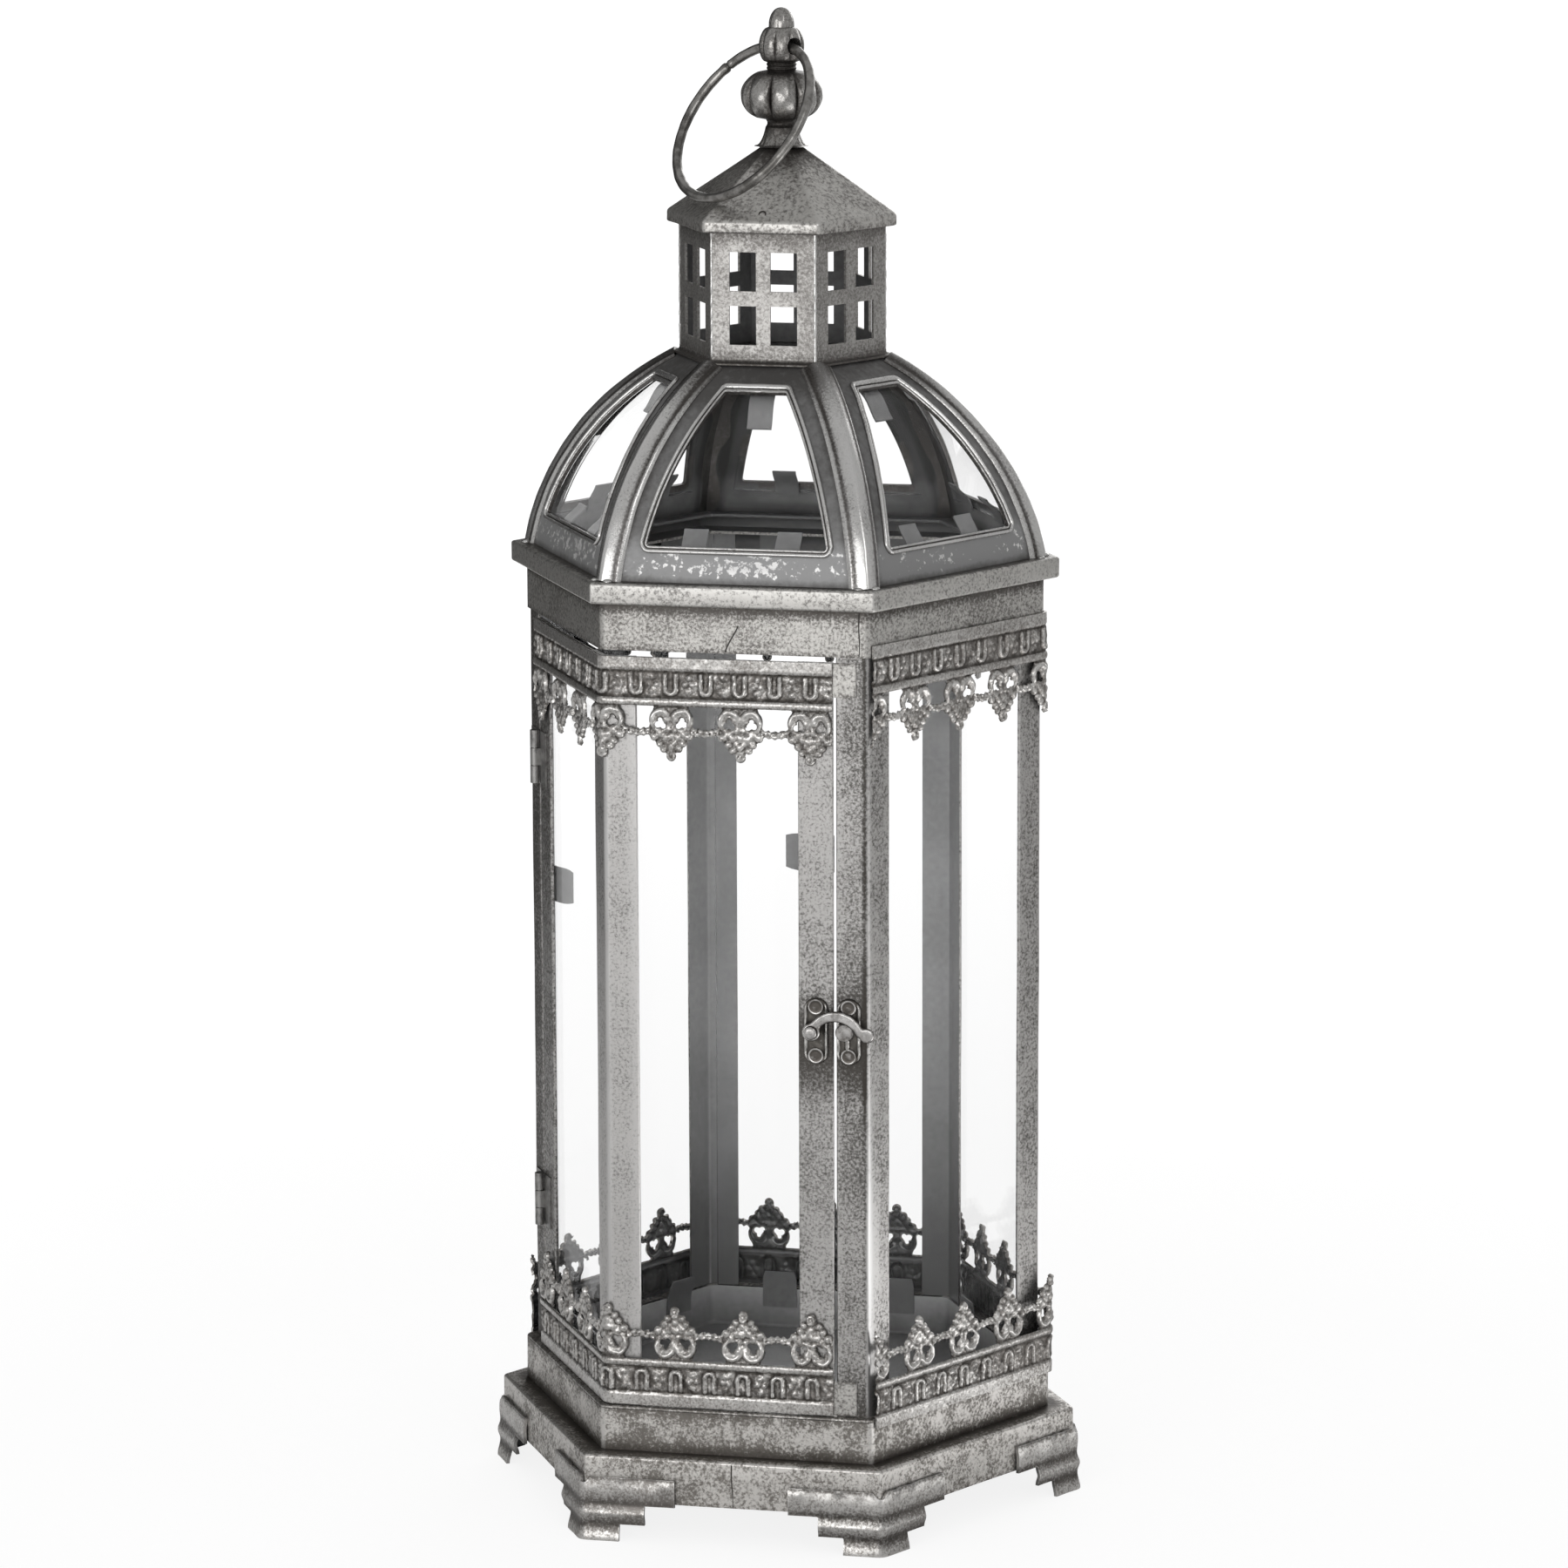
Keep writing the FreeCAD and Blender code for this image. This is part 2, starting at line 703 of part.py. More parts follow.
def hinge_leaf(level, door_side):
    """One leaf: a plate on the sheet and its share of the knuckles round the pin."""
    along, out = hinge_line()
    sign = 1 if door_side else -1
    low = level - hinge_height / 2
    step = hinge_height / knuckle_count
    plate_edge = hinge_barrel_radius + part_gap
    plate = side_box(LEFT_FRONT, *sorted([along + sign * plate_edge, along + sign * leaf_width]),
                     low, low + hinge_height, body_face, body_face + leaf_sheet)
    pieces = [plate]
    for number in range(knuckle_count):
        if (number % 2 == 1) != door_side:
            continue
        bottom = low + number * step + (part_gap / 2 if number else 0)
        top = low + (number + 1) * step - (part_gap / 2 if number < knuckle_count - 1 else 0)
        barrel_foot = side_point(LEFT_FRONT, along, out, bottom)
        barrel = Part.makeCylinder(hinge_barrel_radius, top - bottom, barrel_foot)
        curl = side_box(LEFT_FRONT, *sorted([along + sign * hinge_barrel_radius, along + sign * plate_edge]),
                        bottom, top, body_face, out)
        neck = side_box(LEFT_FRONT, *sorted([along, along + sign * plate_edge]),
                        bottom, top, out - leaf_sheet / 2, out)
        pieces += [barrel, curl, neck]
    bore = Part.makeCylinder(hinge_pin_radius + pin_clearance, hinge_height * 2,
                             side_point(LEFT_FRONT, along, out, level - hinge_height))
    return joined(pieces).cut(bore)


def build_hinges():
    along, out = hinge_line()
    levels = [door_bottom + share * door_height + hinge_height / 2 for share in hinge_levels]
    feet = [side_point(LEFT_FRONT, along, out, level - hinge_height / 2) for level in levels]
    pins = [Part.makeCylinder(hinge_pin_radius, hinge_height, pin_foot) for pin_foot in feet]
    parts["hinge_pins"] = Part.makeCompound(pins)
    parts["hinge_leaves_post"] = Part.makeCompound([hinge_leaf(level, False) for level in levels])
    parts["hinge_leaves_door"] = Part.makeCompound([hinge_leaf(level, True) for level in levels])


# Door
def build_door():
    half = body_half_width
    stile_left = post_wing - half + door_gap / 2
    latch_edge = half - post_wing - door_gap / 2
    rail_face = body_face + stamped_sheet
    parts["door_hinge_stile"] = side_box(LEFT_FRONT, stile_left, stile_left + stile_width,
                                         door_bottom, door_top, post_inside, body_face)
    parts["door_corner_post"] = corner_post(LEFT_FRONT, door_bottom, door_top, post_wing, post_wing)
    parts["door_latch_stile"] = side_box(FRONT, latch_edge - stile_width, latch_edge, door_bottom, door_top,
                                         post_inside, body_face)
    rail_end = latch_edge + rail_stop_reach
    for name, low in [("door_top_rail", door_top - rail_height), ("door_bottom_rail", door_bottom)]:
        parts[name] = bent_plate(LEFT_FRONT, stile_left, rail_end, low, low + rail_height,
                                 body_face, rail_face)
    places = door_drop_places(latch_edge - drop_half_width, rail_face)
    for name, edge, hangs in [("door_gallery_top", door_top, True),
                              ("door_gallery_bottom", door_bottom, False)]:
        parts[name] = gallery(LEFT_FRONT, stile_left, latch_edge, edge, rail_face, hangs, places)
    pane_low = door_bottom + sheet
    pane_high = door_top - sheet
    side_left = stile_left + part_gap
    front_right = latch_edge - part_gap
    parts["door_pane_side"] = side_box(LEFT_FRONT, side_left, pane_half_width, pane_low, pane_high,
                                       pane_inside, post_inside)
    parts["door_pane_front"] = side_box(FRONT, -pane_half_width, front_right, pane_low, pane_high,
                                        pane_inside, post_inside)
    clips = [stile_clip(LEFT_FRONT, side_left, plinth_top + hinge_clip_height),
             stile_clip(FRONT, front_right, plinth_top + latch_clip_height)]
    for along in door_clip_places:
        for side, place in [(LEFT_FRONT, -along), (FRONT, along)]:
            clips.append(rail_clip(side, place, pane_low, pane_low - clip_sheet))
            clips.append(rail_clip(side, place, pane_high - clip_length, pane_high))
    parts["door_pane_clips"] = Part.makeCompound(clips)


def door_drop_places(last_place, inner):
    """Drops on the door's two sides, from one on the corner to the last beside each stile."""
    corner = (inner + stamped_sheet / 2) * TAN30
    pitch = (corner + last_place) / (drops_per_side - 1)
    front = [step * pitch - corner for step in range(drops_per_side)]
    return [-place for place in front], front


def stile_clip(side, edge, height):
    """Tin tab at a stile: a tongue on the glass, its root in a notch at the glass edge."""
    sign = 1 if edge > 0 else -1
    low = height - clip_width / 2
    high = height + clip_width / 2
    return side_box(side, *sorted([edge, edge - sign * stile_clip_length]), low, high, clip_inside, pane_inside)


def rail_clip(side, along, bottom, root_bottom):
    """Tin tab of a door rail: a tongue on the glass, and a root round the glass edge to the rail."""
    half = clip_width / 2
    root = side_box(side, along - half, along + half, root_bottom, root_bottom + clip_sheet, clip_inside, body_face)
    return joined([pane_clip(side, along, bottom), root])


# Latch
def latch_places():
    """Middles of the door's latch plate and the post's catch plate along the front."""
    joint = body_half_width - post_wing
    half = (door_gap + latch_plate_width) / 2
    return joint - half - latch_plate_margin, joint + half + catch_plate_margin


def latch_plate(along):
    """Round-ended plate."""
    radius = latch_plate_width / 2
    straight = latch_plate_height / 2 - radius
    level = plinth_top + latch_level
    outer = body_face + latch_plate_sheet
    middle = side_box(FRONT, along - radius, along + radius, level - straight, level + straight,
                      body_face, outer)
    caps = [side_disc(FRONT, along, level + end * straight, radius, body_face, outer) for end in (-1, 1)]
    return joined([middle] + caps)


def hook_arch():
    """Places of the hook's eye and of its arch's middle, as (along, height) on the front."""
    level = plinth_top + latch_level
    eye = (latch_places()[0] - latch_pin_offset, level)
    run = math.sqrt(hook_arch_radius ** 2 - hook_arch_drop ** 2)
    return eye, (eye[0] + run, eye[1] - hook_arch_drop)


def peg_radius_and_place():
    """Peg under the arch, sized so that the hook comes to rest just clear of it."""
    eye, middle = hook_arch()
    place = (latch_places()[1] - latch_pin_offset, eye[1])
    inside = hook_arch_radius - hook_bar / 2
    distance = math.hypot(place[0] - middle[0], place[1] - middle[1])
    return inside - distance - peg_gap, place


def build_latch():
    level = plinth_top + latch_level
    plate_face = body_face + latch_plate_sheet
    hook_inner = plate_face + latch_rivet_height + part_gap
    hook_outer = hook_inner + hook_thickness
    for name, along, rivets in [("latch_plate", latch_places()[0], "latch_rivets"),
                                ("catch_plate", latch_places()[1], "catch_rivets")]:
        parts[name] = latch_plate(along)
        heads = [side_disc(FRONT, along, level + end * latch_rivet_spread, latch_rivet_radius,
                           plate_face, plate_face + latch_rivet_height) for end in (-1, 1)]
        parts[rivets] = Part.makeCompound(heads)
    eye, middle = hook_arch()
    shoulder = side_disc(FRONT, *eye, pivot_head_radius, plate_face, plate_face + latch_rivet_height)
    shaft = side_disc(FRONT, *eye, pivot_radius, plate_face, hook_outer + part_gap)
    head = side_disc(FRONT, *eye, pivot_head_radius, hook_outer + part_gap,
                     hook_outer + part_gap + pivot_head_height)
    parts["latch_pivot"] = joined([shoulder, shaft, head])
    radius, place = peg_radius_and_place()
    parts["catch_peg"] = side_disc(FRONT, *place, radius, plate_face, hook_inner + peg_engagement)
    parts["latch_hook"] = latch_hook(eye, middle, hook_inner, hook_outer)


def latch_hook(eye, middle, inner, outer):
    """Arched bar with an eye at one end and a round thumb tail at the other."""
    start = math.atan2(eye[1] - middle[1], eye[0] - middle[0])
    end = math.radians(hook_arch_end)
    half = hook_bar / 2

    def at(radius, turn):
        along = middle[0] + radius * math.cos(turn)
        return side_point(FRONT, along, inner, middle[1] + radius * math.sin(turn))

    halfway = (start + end) / 2
    outer_arc = Part.Arc(*[at(hook_arch_radius + half, turn) for turn in (start, halfway, end)])
    inner_arc = Part.Arc(*[at(hook_arch_radius - half, turn) for turn in (end, halfway, start)])
    ends = [Part.LineSegment(outer_arc.EndPoint, inner_arc.StartPoint),
            Part.LineSegment(inner_arc.EndPoint, outer_arc.StartPoint)]
    wire = Part.Wire([outer_arc.toShape(), ends[0].toShape(), inner_arc.toShape(), ends[1].toShape()])
    bar = Part.Face(wire).extrude(side_axes(FRONT)[0] * hook_thickness)
    tail = (middle[0] + hook_arch_radius * math.cos(end) + hook_tail_reach,
            middle[1] + hook_arch_radius * math.sin(end) - hook_tail_drop)
    pieces = [bar, side_disc(FRONT, *eye, hook_eye_radius, inner, outer),
              side_disc(FRONT, *tail, hook_tail_radius, inner, outer)]
    hole = side_disc(FRONT, *eye, pivot_radius + pin_clearance, inner - overcut, outer + overcut)
    return joined(pieces).cut(hole)


def write_parts():
    os.makedirs("parts", exist_ok=True)
    for name, shape in parts.items():
        shape.exportStep("parts/" + name + ".step")


def print_places():
    """Joint places for the record, in millimetres."""
    along, out = hinge_line()
    print("door hinge", side_point(LEFT_FRONT, along, out, door_bottom))
    print("hook pivot", side_point(FRONT, *hook_arch()[0][:1], body_face, hook_arch()[0][1]))
    print("ring pivot", ring_pivot_height(), "axis", ring_axis(), "lean", math.degrees(ring_rest_lean()))
    print("nodes", len(parts), "top", finial_levels()[-1])


build_base()
build_feet()
build_frame()
build_fixed_panes()
build_galleries()
build_dome()
build_cupola()
build_roof()
build_finial()
build_ring()
build_hinges()
build_door()
build_latch()
write_parts()
print_places()
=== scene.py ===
import json

import bmesh
import bpy
import numpy as np
from mathutils import Matrix, Vector


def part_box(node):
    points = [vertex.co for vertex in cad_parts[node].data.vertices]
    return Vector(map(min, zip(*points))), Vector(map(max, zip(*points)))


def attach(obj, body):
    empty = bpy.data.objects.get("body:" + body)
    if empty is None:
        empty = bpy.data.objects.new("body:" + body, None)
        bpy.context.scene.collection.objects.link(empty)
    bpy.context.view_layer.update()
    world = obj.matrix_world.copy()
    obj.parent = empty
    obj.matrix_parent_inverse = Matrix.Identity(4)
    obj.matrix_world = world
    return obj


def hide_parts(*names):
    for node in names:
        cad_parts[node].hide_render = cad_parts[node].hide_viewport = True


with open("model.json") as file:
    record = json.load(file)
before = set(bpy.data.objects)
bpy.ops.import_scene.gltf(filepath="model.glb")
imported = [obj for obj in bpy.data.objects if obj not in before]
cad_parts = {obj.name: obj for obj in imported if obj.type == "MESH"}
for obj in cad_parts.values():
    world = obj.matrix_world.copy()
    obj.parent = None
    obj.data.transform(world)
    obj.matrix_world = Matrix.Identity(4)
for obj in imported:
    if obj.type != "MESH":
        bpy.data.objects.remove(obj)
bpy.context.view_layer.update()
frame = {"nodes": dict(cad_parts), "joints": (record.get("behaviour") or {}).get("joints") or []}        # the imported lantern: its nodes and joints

# Looks of a hexagonal silvered candle lantern. Shapes are worked out in millimetres, in the
# frame of the imported model, and become metres when they are written to a mesh.
MM = 0.001
COS30 = np.cos(np.radians(30))
TAN30 = np.tan(np.radians(30))
FOLD = np.radians(30)
POLE = 0.001              # radius at which a turned shape or a hexagon closes on the axis
FRONT_RIGHT, RIGHT, BACK_RIGHT, BACK_LEFT, LEFT, FRONT_LEFT = range(6)


def low(name):
    """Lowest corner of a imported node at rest, in millimetres."""
    return np.array(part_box(name)[0]) / MM


def high(name):
    """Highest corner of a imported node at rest, in millimetres."""
    return np.array(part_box(name)[1]) / MM


def joint_place(name):
    """A place on a joint's axis, in millimetres."""
    return next(np.array(j["pos_m"]) for j in frame["joints"] if j["name"] == name) / MM


def joint_axis(name):
    """Direction of a joint's axis, of length one."""
    return next(np.array(j["axis"], float) for j in frame["joints"] if j["name"] == name)


# Distances from the axis to the sides, read from the frame
base_face = -low("base_pan")[1]
foot_face = -low("foot_front_right")[1]
plinth_face = -low("plinth_band")[1]
body_face = -low("door_latch_stile")[1]
rail_face = -low("door_top_rail")[1]
head_face = -low("head_band")[1]
cornice_face = -low("cornice_rim")[1]
flange_face = -low("cupola")[1]
eave_face = -low("cupola_roof")[1]
sheet = high("door_latch_stile")[1] + body_face
stamped_sheet = rail_face - body_face
foot_sheet = foot_face - base_face

# Two distances from the axis that no node's box gives: a corner of the cupola, and the gores at the neck
cupola_corner = 36.0
neck_face = 32.04

# Widths along the sides, read from the frame
post_wing = high("post_right")[1] / COS30
short_wing = -low("post_left")[1] / COS30
latch_edge = high("door_latch_stile")[0]
stile_width = latch_edge - low("door_latch_stile")[0]
rail_end = high("door_top_rail")[0]
foot_wing = foot_face * TAN30 - low("foot_front_right")[0]

# How the sheet was worked: bend radii at the corners
body_bend = 2.4
plinth_bend = 3.2
base_bend = 1.2
cornice_bend = 1.0
cupola_bend = 1.1

# Stamped gallery: a plain edge, a band of arches, a moulding, then pierced drops on a chain
strip_depth = 16.3
plain_edge = 4.1
moulding_level = 15.0
drops_per_side = 4
drop_half_width = 7.5
chain_link = 2.2
gallery_cell = 0.42


def ripple(u, v, size, phase):
    """Smooth unevenness from -1 to 1: three sine waves of about the given size, each bent by another."""
    turn = 2 * np.pi / size
    first = np.sin(turn * u + phase + 1.7 * np.sin(0.61 * turn * v + 2 * phase))
    second = np.sin(0.73 * turn * v - 1.3 * phase + 1.4 * np.sin(0.53 * turn * u + phase))
    third = np.sin(0.47 * turn * (u + v) + 0.7 * phase)
    return (first + second + third) / 3


def bump(distance, radius, height):
    """Half-round rise: an ellipse over the radius, nothing beyond it."""
    return height * np.sqrt(np.clip(1 - (distance / radius) ** 2, 0, 1))


def swell(distance, width, height):
    """Soft rise: a bell curve of the given half width."""
    return height * np.exp(-(distance / width) ** 2)


def ease(value, start, end):
    """Smooth step from 0 at start to 1 at end."""
    share = np.clip((value - start) / (end - start), 0, 1)
    return share * share * (3 - 2 * share)


def corner_turn(corner):
    """Direction of a corner seen from above: sixty degrees apart, the front right one at minus sixty."""
    return np.radians(60 * corner - 60)


def side_turn(side):
    """Direction that a side faces: sixty degrees apart, the front one at minus ninety."""
    return np.radians(60 * side - 90)


def plan_place(turn, out, along):
    """Plan of a place that lies out in the direction turn and along to its left."""
    return out * np.cos(turn) - along * np.sin(turn), out * np.sin(turn) + along * np.cos(turn)


def bend_trim(bend):
    """How much shorter half the way round a bend is than the way to the sharp corner."""
    return bend * (TAN30 - FOLD)


def round_corner(along, out, height, corner, face, bend):
    """Place on sheet folded round a corner: straight on one side, an arc of the bend radius through
    sixty degrees, straight on the next side. along starts at the middle of the bend and is measured
    on the face; out is how far the place stands off that face."""
    arc = bend * FOLD
    turned = np.clip(along, -arc, arc)
    middle = corner_turn(corner)
    angle = middle + turned / bend
    straight = along - turned
    reach = (face - bend) / COS30
    x = reach * np.cos(middle) + (bend + out) * np.cos(angle) - straight * np.sin(angle)
    y = reach * np.sin(middle) + (bend + out) * np.sin(angle) + straight * np.cos(angle)
    return np.stack(np.broadcast_arrays(x, y, height), -1)


def from_corner(along, face, bend):
    """Turns a distance from the middle of a side into one from the bend at that side's left end."""
    return along + face * TAN30 - bend_trim(bend)


def grid_faces(rows, columns, wrap_rows=False, wrap_columns=False):
    """Corner numbers of the quads of a grid; rows rise and columns run to the left seen from inside."""
    row = np.arange(rows if wrap_rows else rows - 1)
    column = np.arange(columns if wrap_columns else columns - 1)
    r0, c0 = np.meshgrid(row, column, indexing="ij")
    r1, c1 = (r0 + 1) % rows, (c0 + 1) % columns
    corners = [r0 * columns + c0, r0 * columns + c1, r1 * columns + c1, r1 * columns + c0]
    return np.stack(corners, -1).reshape(-1, 4)


def patch(points, faces, wear_and_highlight=0.0, grime_and_shade=0.0, inside=False):
    """One stretch of surface: its places, its faces, and how bright each place is from rubbing or a painted
    highlight, how dark from dirty patches or painted shade, and whether it is on the second finish."""
    points = points.reshape(-1, 3)
    marks = [np.broadcast_to(np.asarray(mark, float).ravel(), points.shape[:1])
             for mark in (wear_and_highlight, grime_and_shade, inside)]
    return {"points": points, "faces": [list(face) for face in faces], "marks": marks}


def sweep(points, wear_and_highlight=0.0, grime_and_shade=0.0, inside=False, closed=False):
    """A closed section carried along a path: rows are sections, and the ends are capped or joined."""
    rows, columns = points.shape[:2]
    faces = grid_faces(rows, columns, closed, True).tolist()
    if not closed:
        faces.append(list(range(columns))[::-1])
        faces.append(list(range((rows - 1) * columns, rows * columns)))
    spread = [np.broadcast_to(mark, (rows, columns)) for mark in (wear_and_highlight, grime_and_shade, inside)]
    return patch(points, faces, *spread)


def faces_within(mesh):
    """For each face 1 where all its corners are marked inside, else 0."""
    starts = np.empty(len(mesh.polygons), np.int32)
    corners = np.empty(len(mesh.loops), np.int32)
    inside = np.empty(len(mesh.vertices), np.float32)
    mesh.polygons.foreach_get("loop_start", starts)
    mesh.loops.foreach_get("vertex_index", corners)
    mesh.attributes["inside"].data.foreach_get("value", inside)
    return (np.minimum.reduceat(inside[corners], starts) > 0.5).astype(np.int32)


def settle(made):
    """Makes the mesh that a piece's modifiers give its own mesh, and drops the modifiers."""
    worked = bpy.data.meshes.new_from_object(made.evaluated_get(bpy.context.evaluated_depsgraph_get()))
    worked.name = made.name
    made.modifiers.clear()
    made.data = worked


def piece(name, patches, body, nodes, finishes, thickness=0.0, even=True, closed=False, crease=38):
    """Joins patches into one mesh, gives open sheet its thickness inwards, and seats it on a body. A face
    whose corners are all marked inside takes the second finish."""
    counts = np.cumsum([0] + [len(p["points"]) for p in patches])
    points = np.concatenate([p["points"] for p in patches])
    faces = [[corner + start for corner in face] for p, start in zip(patches, counts) for face in p["faces"]]
    mesh = bpy.data.meshes.new(name)
    mesh.from_pydata(points * MM, [], faces)
    for number, label in enumerate(("wear_and_highlight", "grime_and_shade", "inside")):
        values = np.concatenate([p["marks"][number] for p in patches])
        mesh.attributes.new(label, "FLOAT", "POINT").data.foreach_set("value", values.astype(np.float32))
    work = bmesh.new()
    work.from_mesh(mesh)
    bmesh.ops.remove_doubles(work, verts=work.verts, dist=2 * POLE * MM)
    bmesh.ops.dissolve_degenerate(work, edges=work.edges, dist=1e-7)
    if closed:
        bmesh.ops.recalc_face_normals(work, faces=work.faces)
    work.to_mesh(mesh)
    work.free()
    mesh.shade_smooth()
    if len(finishes) > 1:
        mesh.polygons.foreach_set("material_index", faces_within(mesh))
    for finish in finishes:
        mesh.materials.append(finish)
    made = bpy.data.objects.new(name, mesh)
    bpy.context.scene.collection.objects.link(made)
    if thickness:
        wall = made.modifiers.new("Wall", "SOLIDIFY")
        wall.thickness = thickness * MM
        wall.offset = -1
        wall.use_even_offset = even
        wall.material_offset = len(finishes) - 1
        settle(made)
    made.data.set_sharp_from_angle(angle=np.radians(crease))
    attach(made, body)
    if nodes:
        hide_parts(*nodes)
    return made


def stamped(along, height, inside, relief, place):
    """Stamped sheet: a grid of (along, height) trimmed to where inside is positive, its cut edge drawn
    onto the zero line by three Newton steps, and raised by relief. relief also gives worn and grime."""
    u, v = np.meshgrid(along, height)
    step = along[1] - along[0]
    probe = step / 8
    distance = inside(u, v)
    faces = grid_faces(*u.shape)
    faces = faces[(distance.ravel()[faces] > 0).any(1)]
    for _ in range(3):
        slope_u = (inside(u + probe, v) - inside(u - probe, v)) / (2 * probe)
        slope_v = (inside(u, v + probe) - inside(u, v - probe)) / (2 * probe)
        move = np.where(distance < 0, -distance / np.maximum(slope_u ** 2 + slope_v ** 2, 0.05), 0)
        move = np.clip(move, -step, step)
        u = u + move * slope_u
        v = v + move * slope_v
        distance = inside(u, v)
    rise, wear_and_highlight, grime_and_shade = relief(u, v, distance)
    used, faces = np.unique(faces, return_inverse=True)
    points = place(u, v, rise).reshape(-1, 3)[used]
    return patch(points, faces.reshape(-1, 4), wear_and_highlight.ravel()[used], grime_and_shade.ravel()[used])


def lathe(profile, centre, axis, turns=48, wear_and_highlight=0.0, grime_and_shade=0.0):
    """A profile of (radius, height) rows turned about an axis through centre."""
    axis = np.array(axis, float)
    side = np.cross(axis, [0, 0, 1] if abs(axis[2]) < 0.9 else [0, 1, 0])
    side /= np.linalg.norm(side)
    third = np.cross(axis, side)
    angle = np.linspace(0, 2 * np.pi, turns, endpoint=False)
    ring = np.cos(angle)[:, None] * side + np.sin(angle)[:, None] * third
    radius, height = np.array(profile, float).T
    points = np.array(centre) + radius[:, None, None] * ring + height[:, None, None] * axis
    marks = [np.broadcast_to(np.asarray(mark, float)[..., None], points.shape[:2]) for mark in (wear_and_highlight, grime_and_shade)]
    return patch(points, grid_faces(*points.shape[:2], False, True), *marks)


def tube(path, radius, sides=12, closed=False, wear_and_highlight=0.0, grime_and_shade=0.0):
    """A round wire: circles of the given radius, one per path point, square to the path."""
    path = np.asarray(path, float)
    ahead = np.roll(path, -1, 0) - np.roll(path, 1, 0) if closed else np.gradient(path, axis=0)
    ahead /= np.linalg.norm(ahead, axis=1)[:, None]
    upright = np.array([0.13, 0.21, 0.97])      # a direction that no wire here runs in
    side = np.cross(ahead, upright)
    side /= np.linalg.norm(side, axis=1)[:, None]
    over = np.cross(side, ahead)
    angle = np.linspace(0, 2 * np.pi, sides, endpoint=False)
    ring = np.cos(angle)[None, :, None] * side[:, None] + np.sin(angle)[None, :, None] * over[:, None]
    size = np.broadcast_to(radius, len(path))[:, None, None]
    marks = [np.broadcast_to(np.asarray(mark, float), len(path))[:, None] for mark in (wear_and_highlight, grime_and_shade)]
    return sweep(path[:, None] + size * ring, *marks, closed=closed)


def fillet(corners, radii, steps=6):
    """An open outline with its inner corners rounded by tangent arcs of the given radii."""
    corners = np.asarray(corners, float)
    spots = [corners[:1]]
    for before, here, after, radius in zip(corners, corners[1:], corners[2:], radii):
        back = (before - here) / np.linalg.norm(before - here)
        on = (after - here) / np.linalg.norm(after - here)
        half = np.arccos(np.clip(back @ on, -1, 1)) / 2
        reach = radius / np.tan(half)
        middle = here + (back + on) / np.linalg.norm(back + on) * radius / np.sin(half)
        start, end = here + back * reach - middle, here + on * reach - middle
        share = np.linspace(0, 1, steps)[:, None]
        arc = start * (1 - share) + end * share
        spots.append(middle + arc / np.linalg.norm(arc, axis=1)[:, None] * radius)
    return np.concatenate(spots + [corners[-1:]])


# Materials

def colour(text):
    """Linear colour with alpha from an sRGB hex value."""
    parts = [int(text[i:i + 2], 16) / 255 for i in (1, 3, 5)]
    return [c / 12.92 if c <= 0.04045 else ((c + 0.055) / 1.055) ** 2.4 for c in parts] + [1.0]


def node(tree, kind, values=None, links=None, **settings):
    """Adds one node with its settings, input values and links."""
    made = tree.nodes.new("ShaderNode" + kind)
    for name, value in settings.items():
        setattr(made, name, value)
    for name, value in (values or {}).items():
        made.inputs[name].default_value = value
    for name, socket in (links or {}).items():
        tree.links.new(socket, made.inputs[name])
    return made


def blank_material(name):
    """A material with one principled shader on its output."""
    made = bpy.data.materials.new(name)
    made.use_nodes = True
    made.node_tree.nodes.clear()
    shader = node(made.node_tree, "BsdfPrincipled")
    node(made.node_tree, "OutputMaterial", links={"Surface": shader.outputs[0]})
    return made, made.node_tree, shader


def mix_at_output(tree, share, shader, other):
    """Puts a mix of two shaders on the output: the first where share is nought, the other where it is one."""
    both = node(tree, "MixShader", links={0: share, 1: shader.outputs[0], 2: other.outputs[0]})
    output = next(n for n in tree.nodes if n.type == "OUTPUT_MATERIAL")
    tree.links.new(both.outputs[0], output.inputs["Surface"])


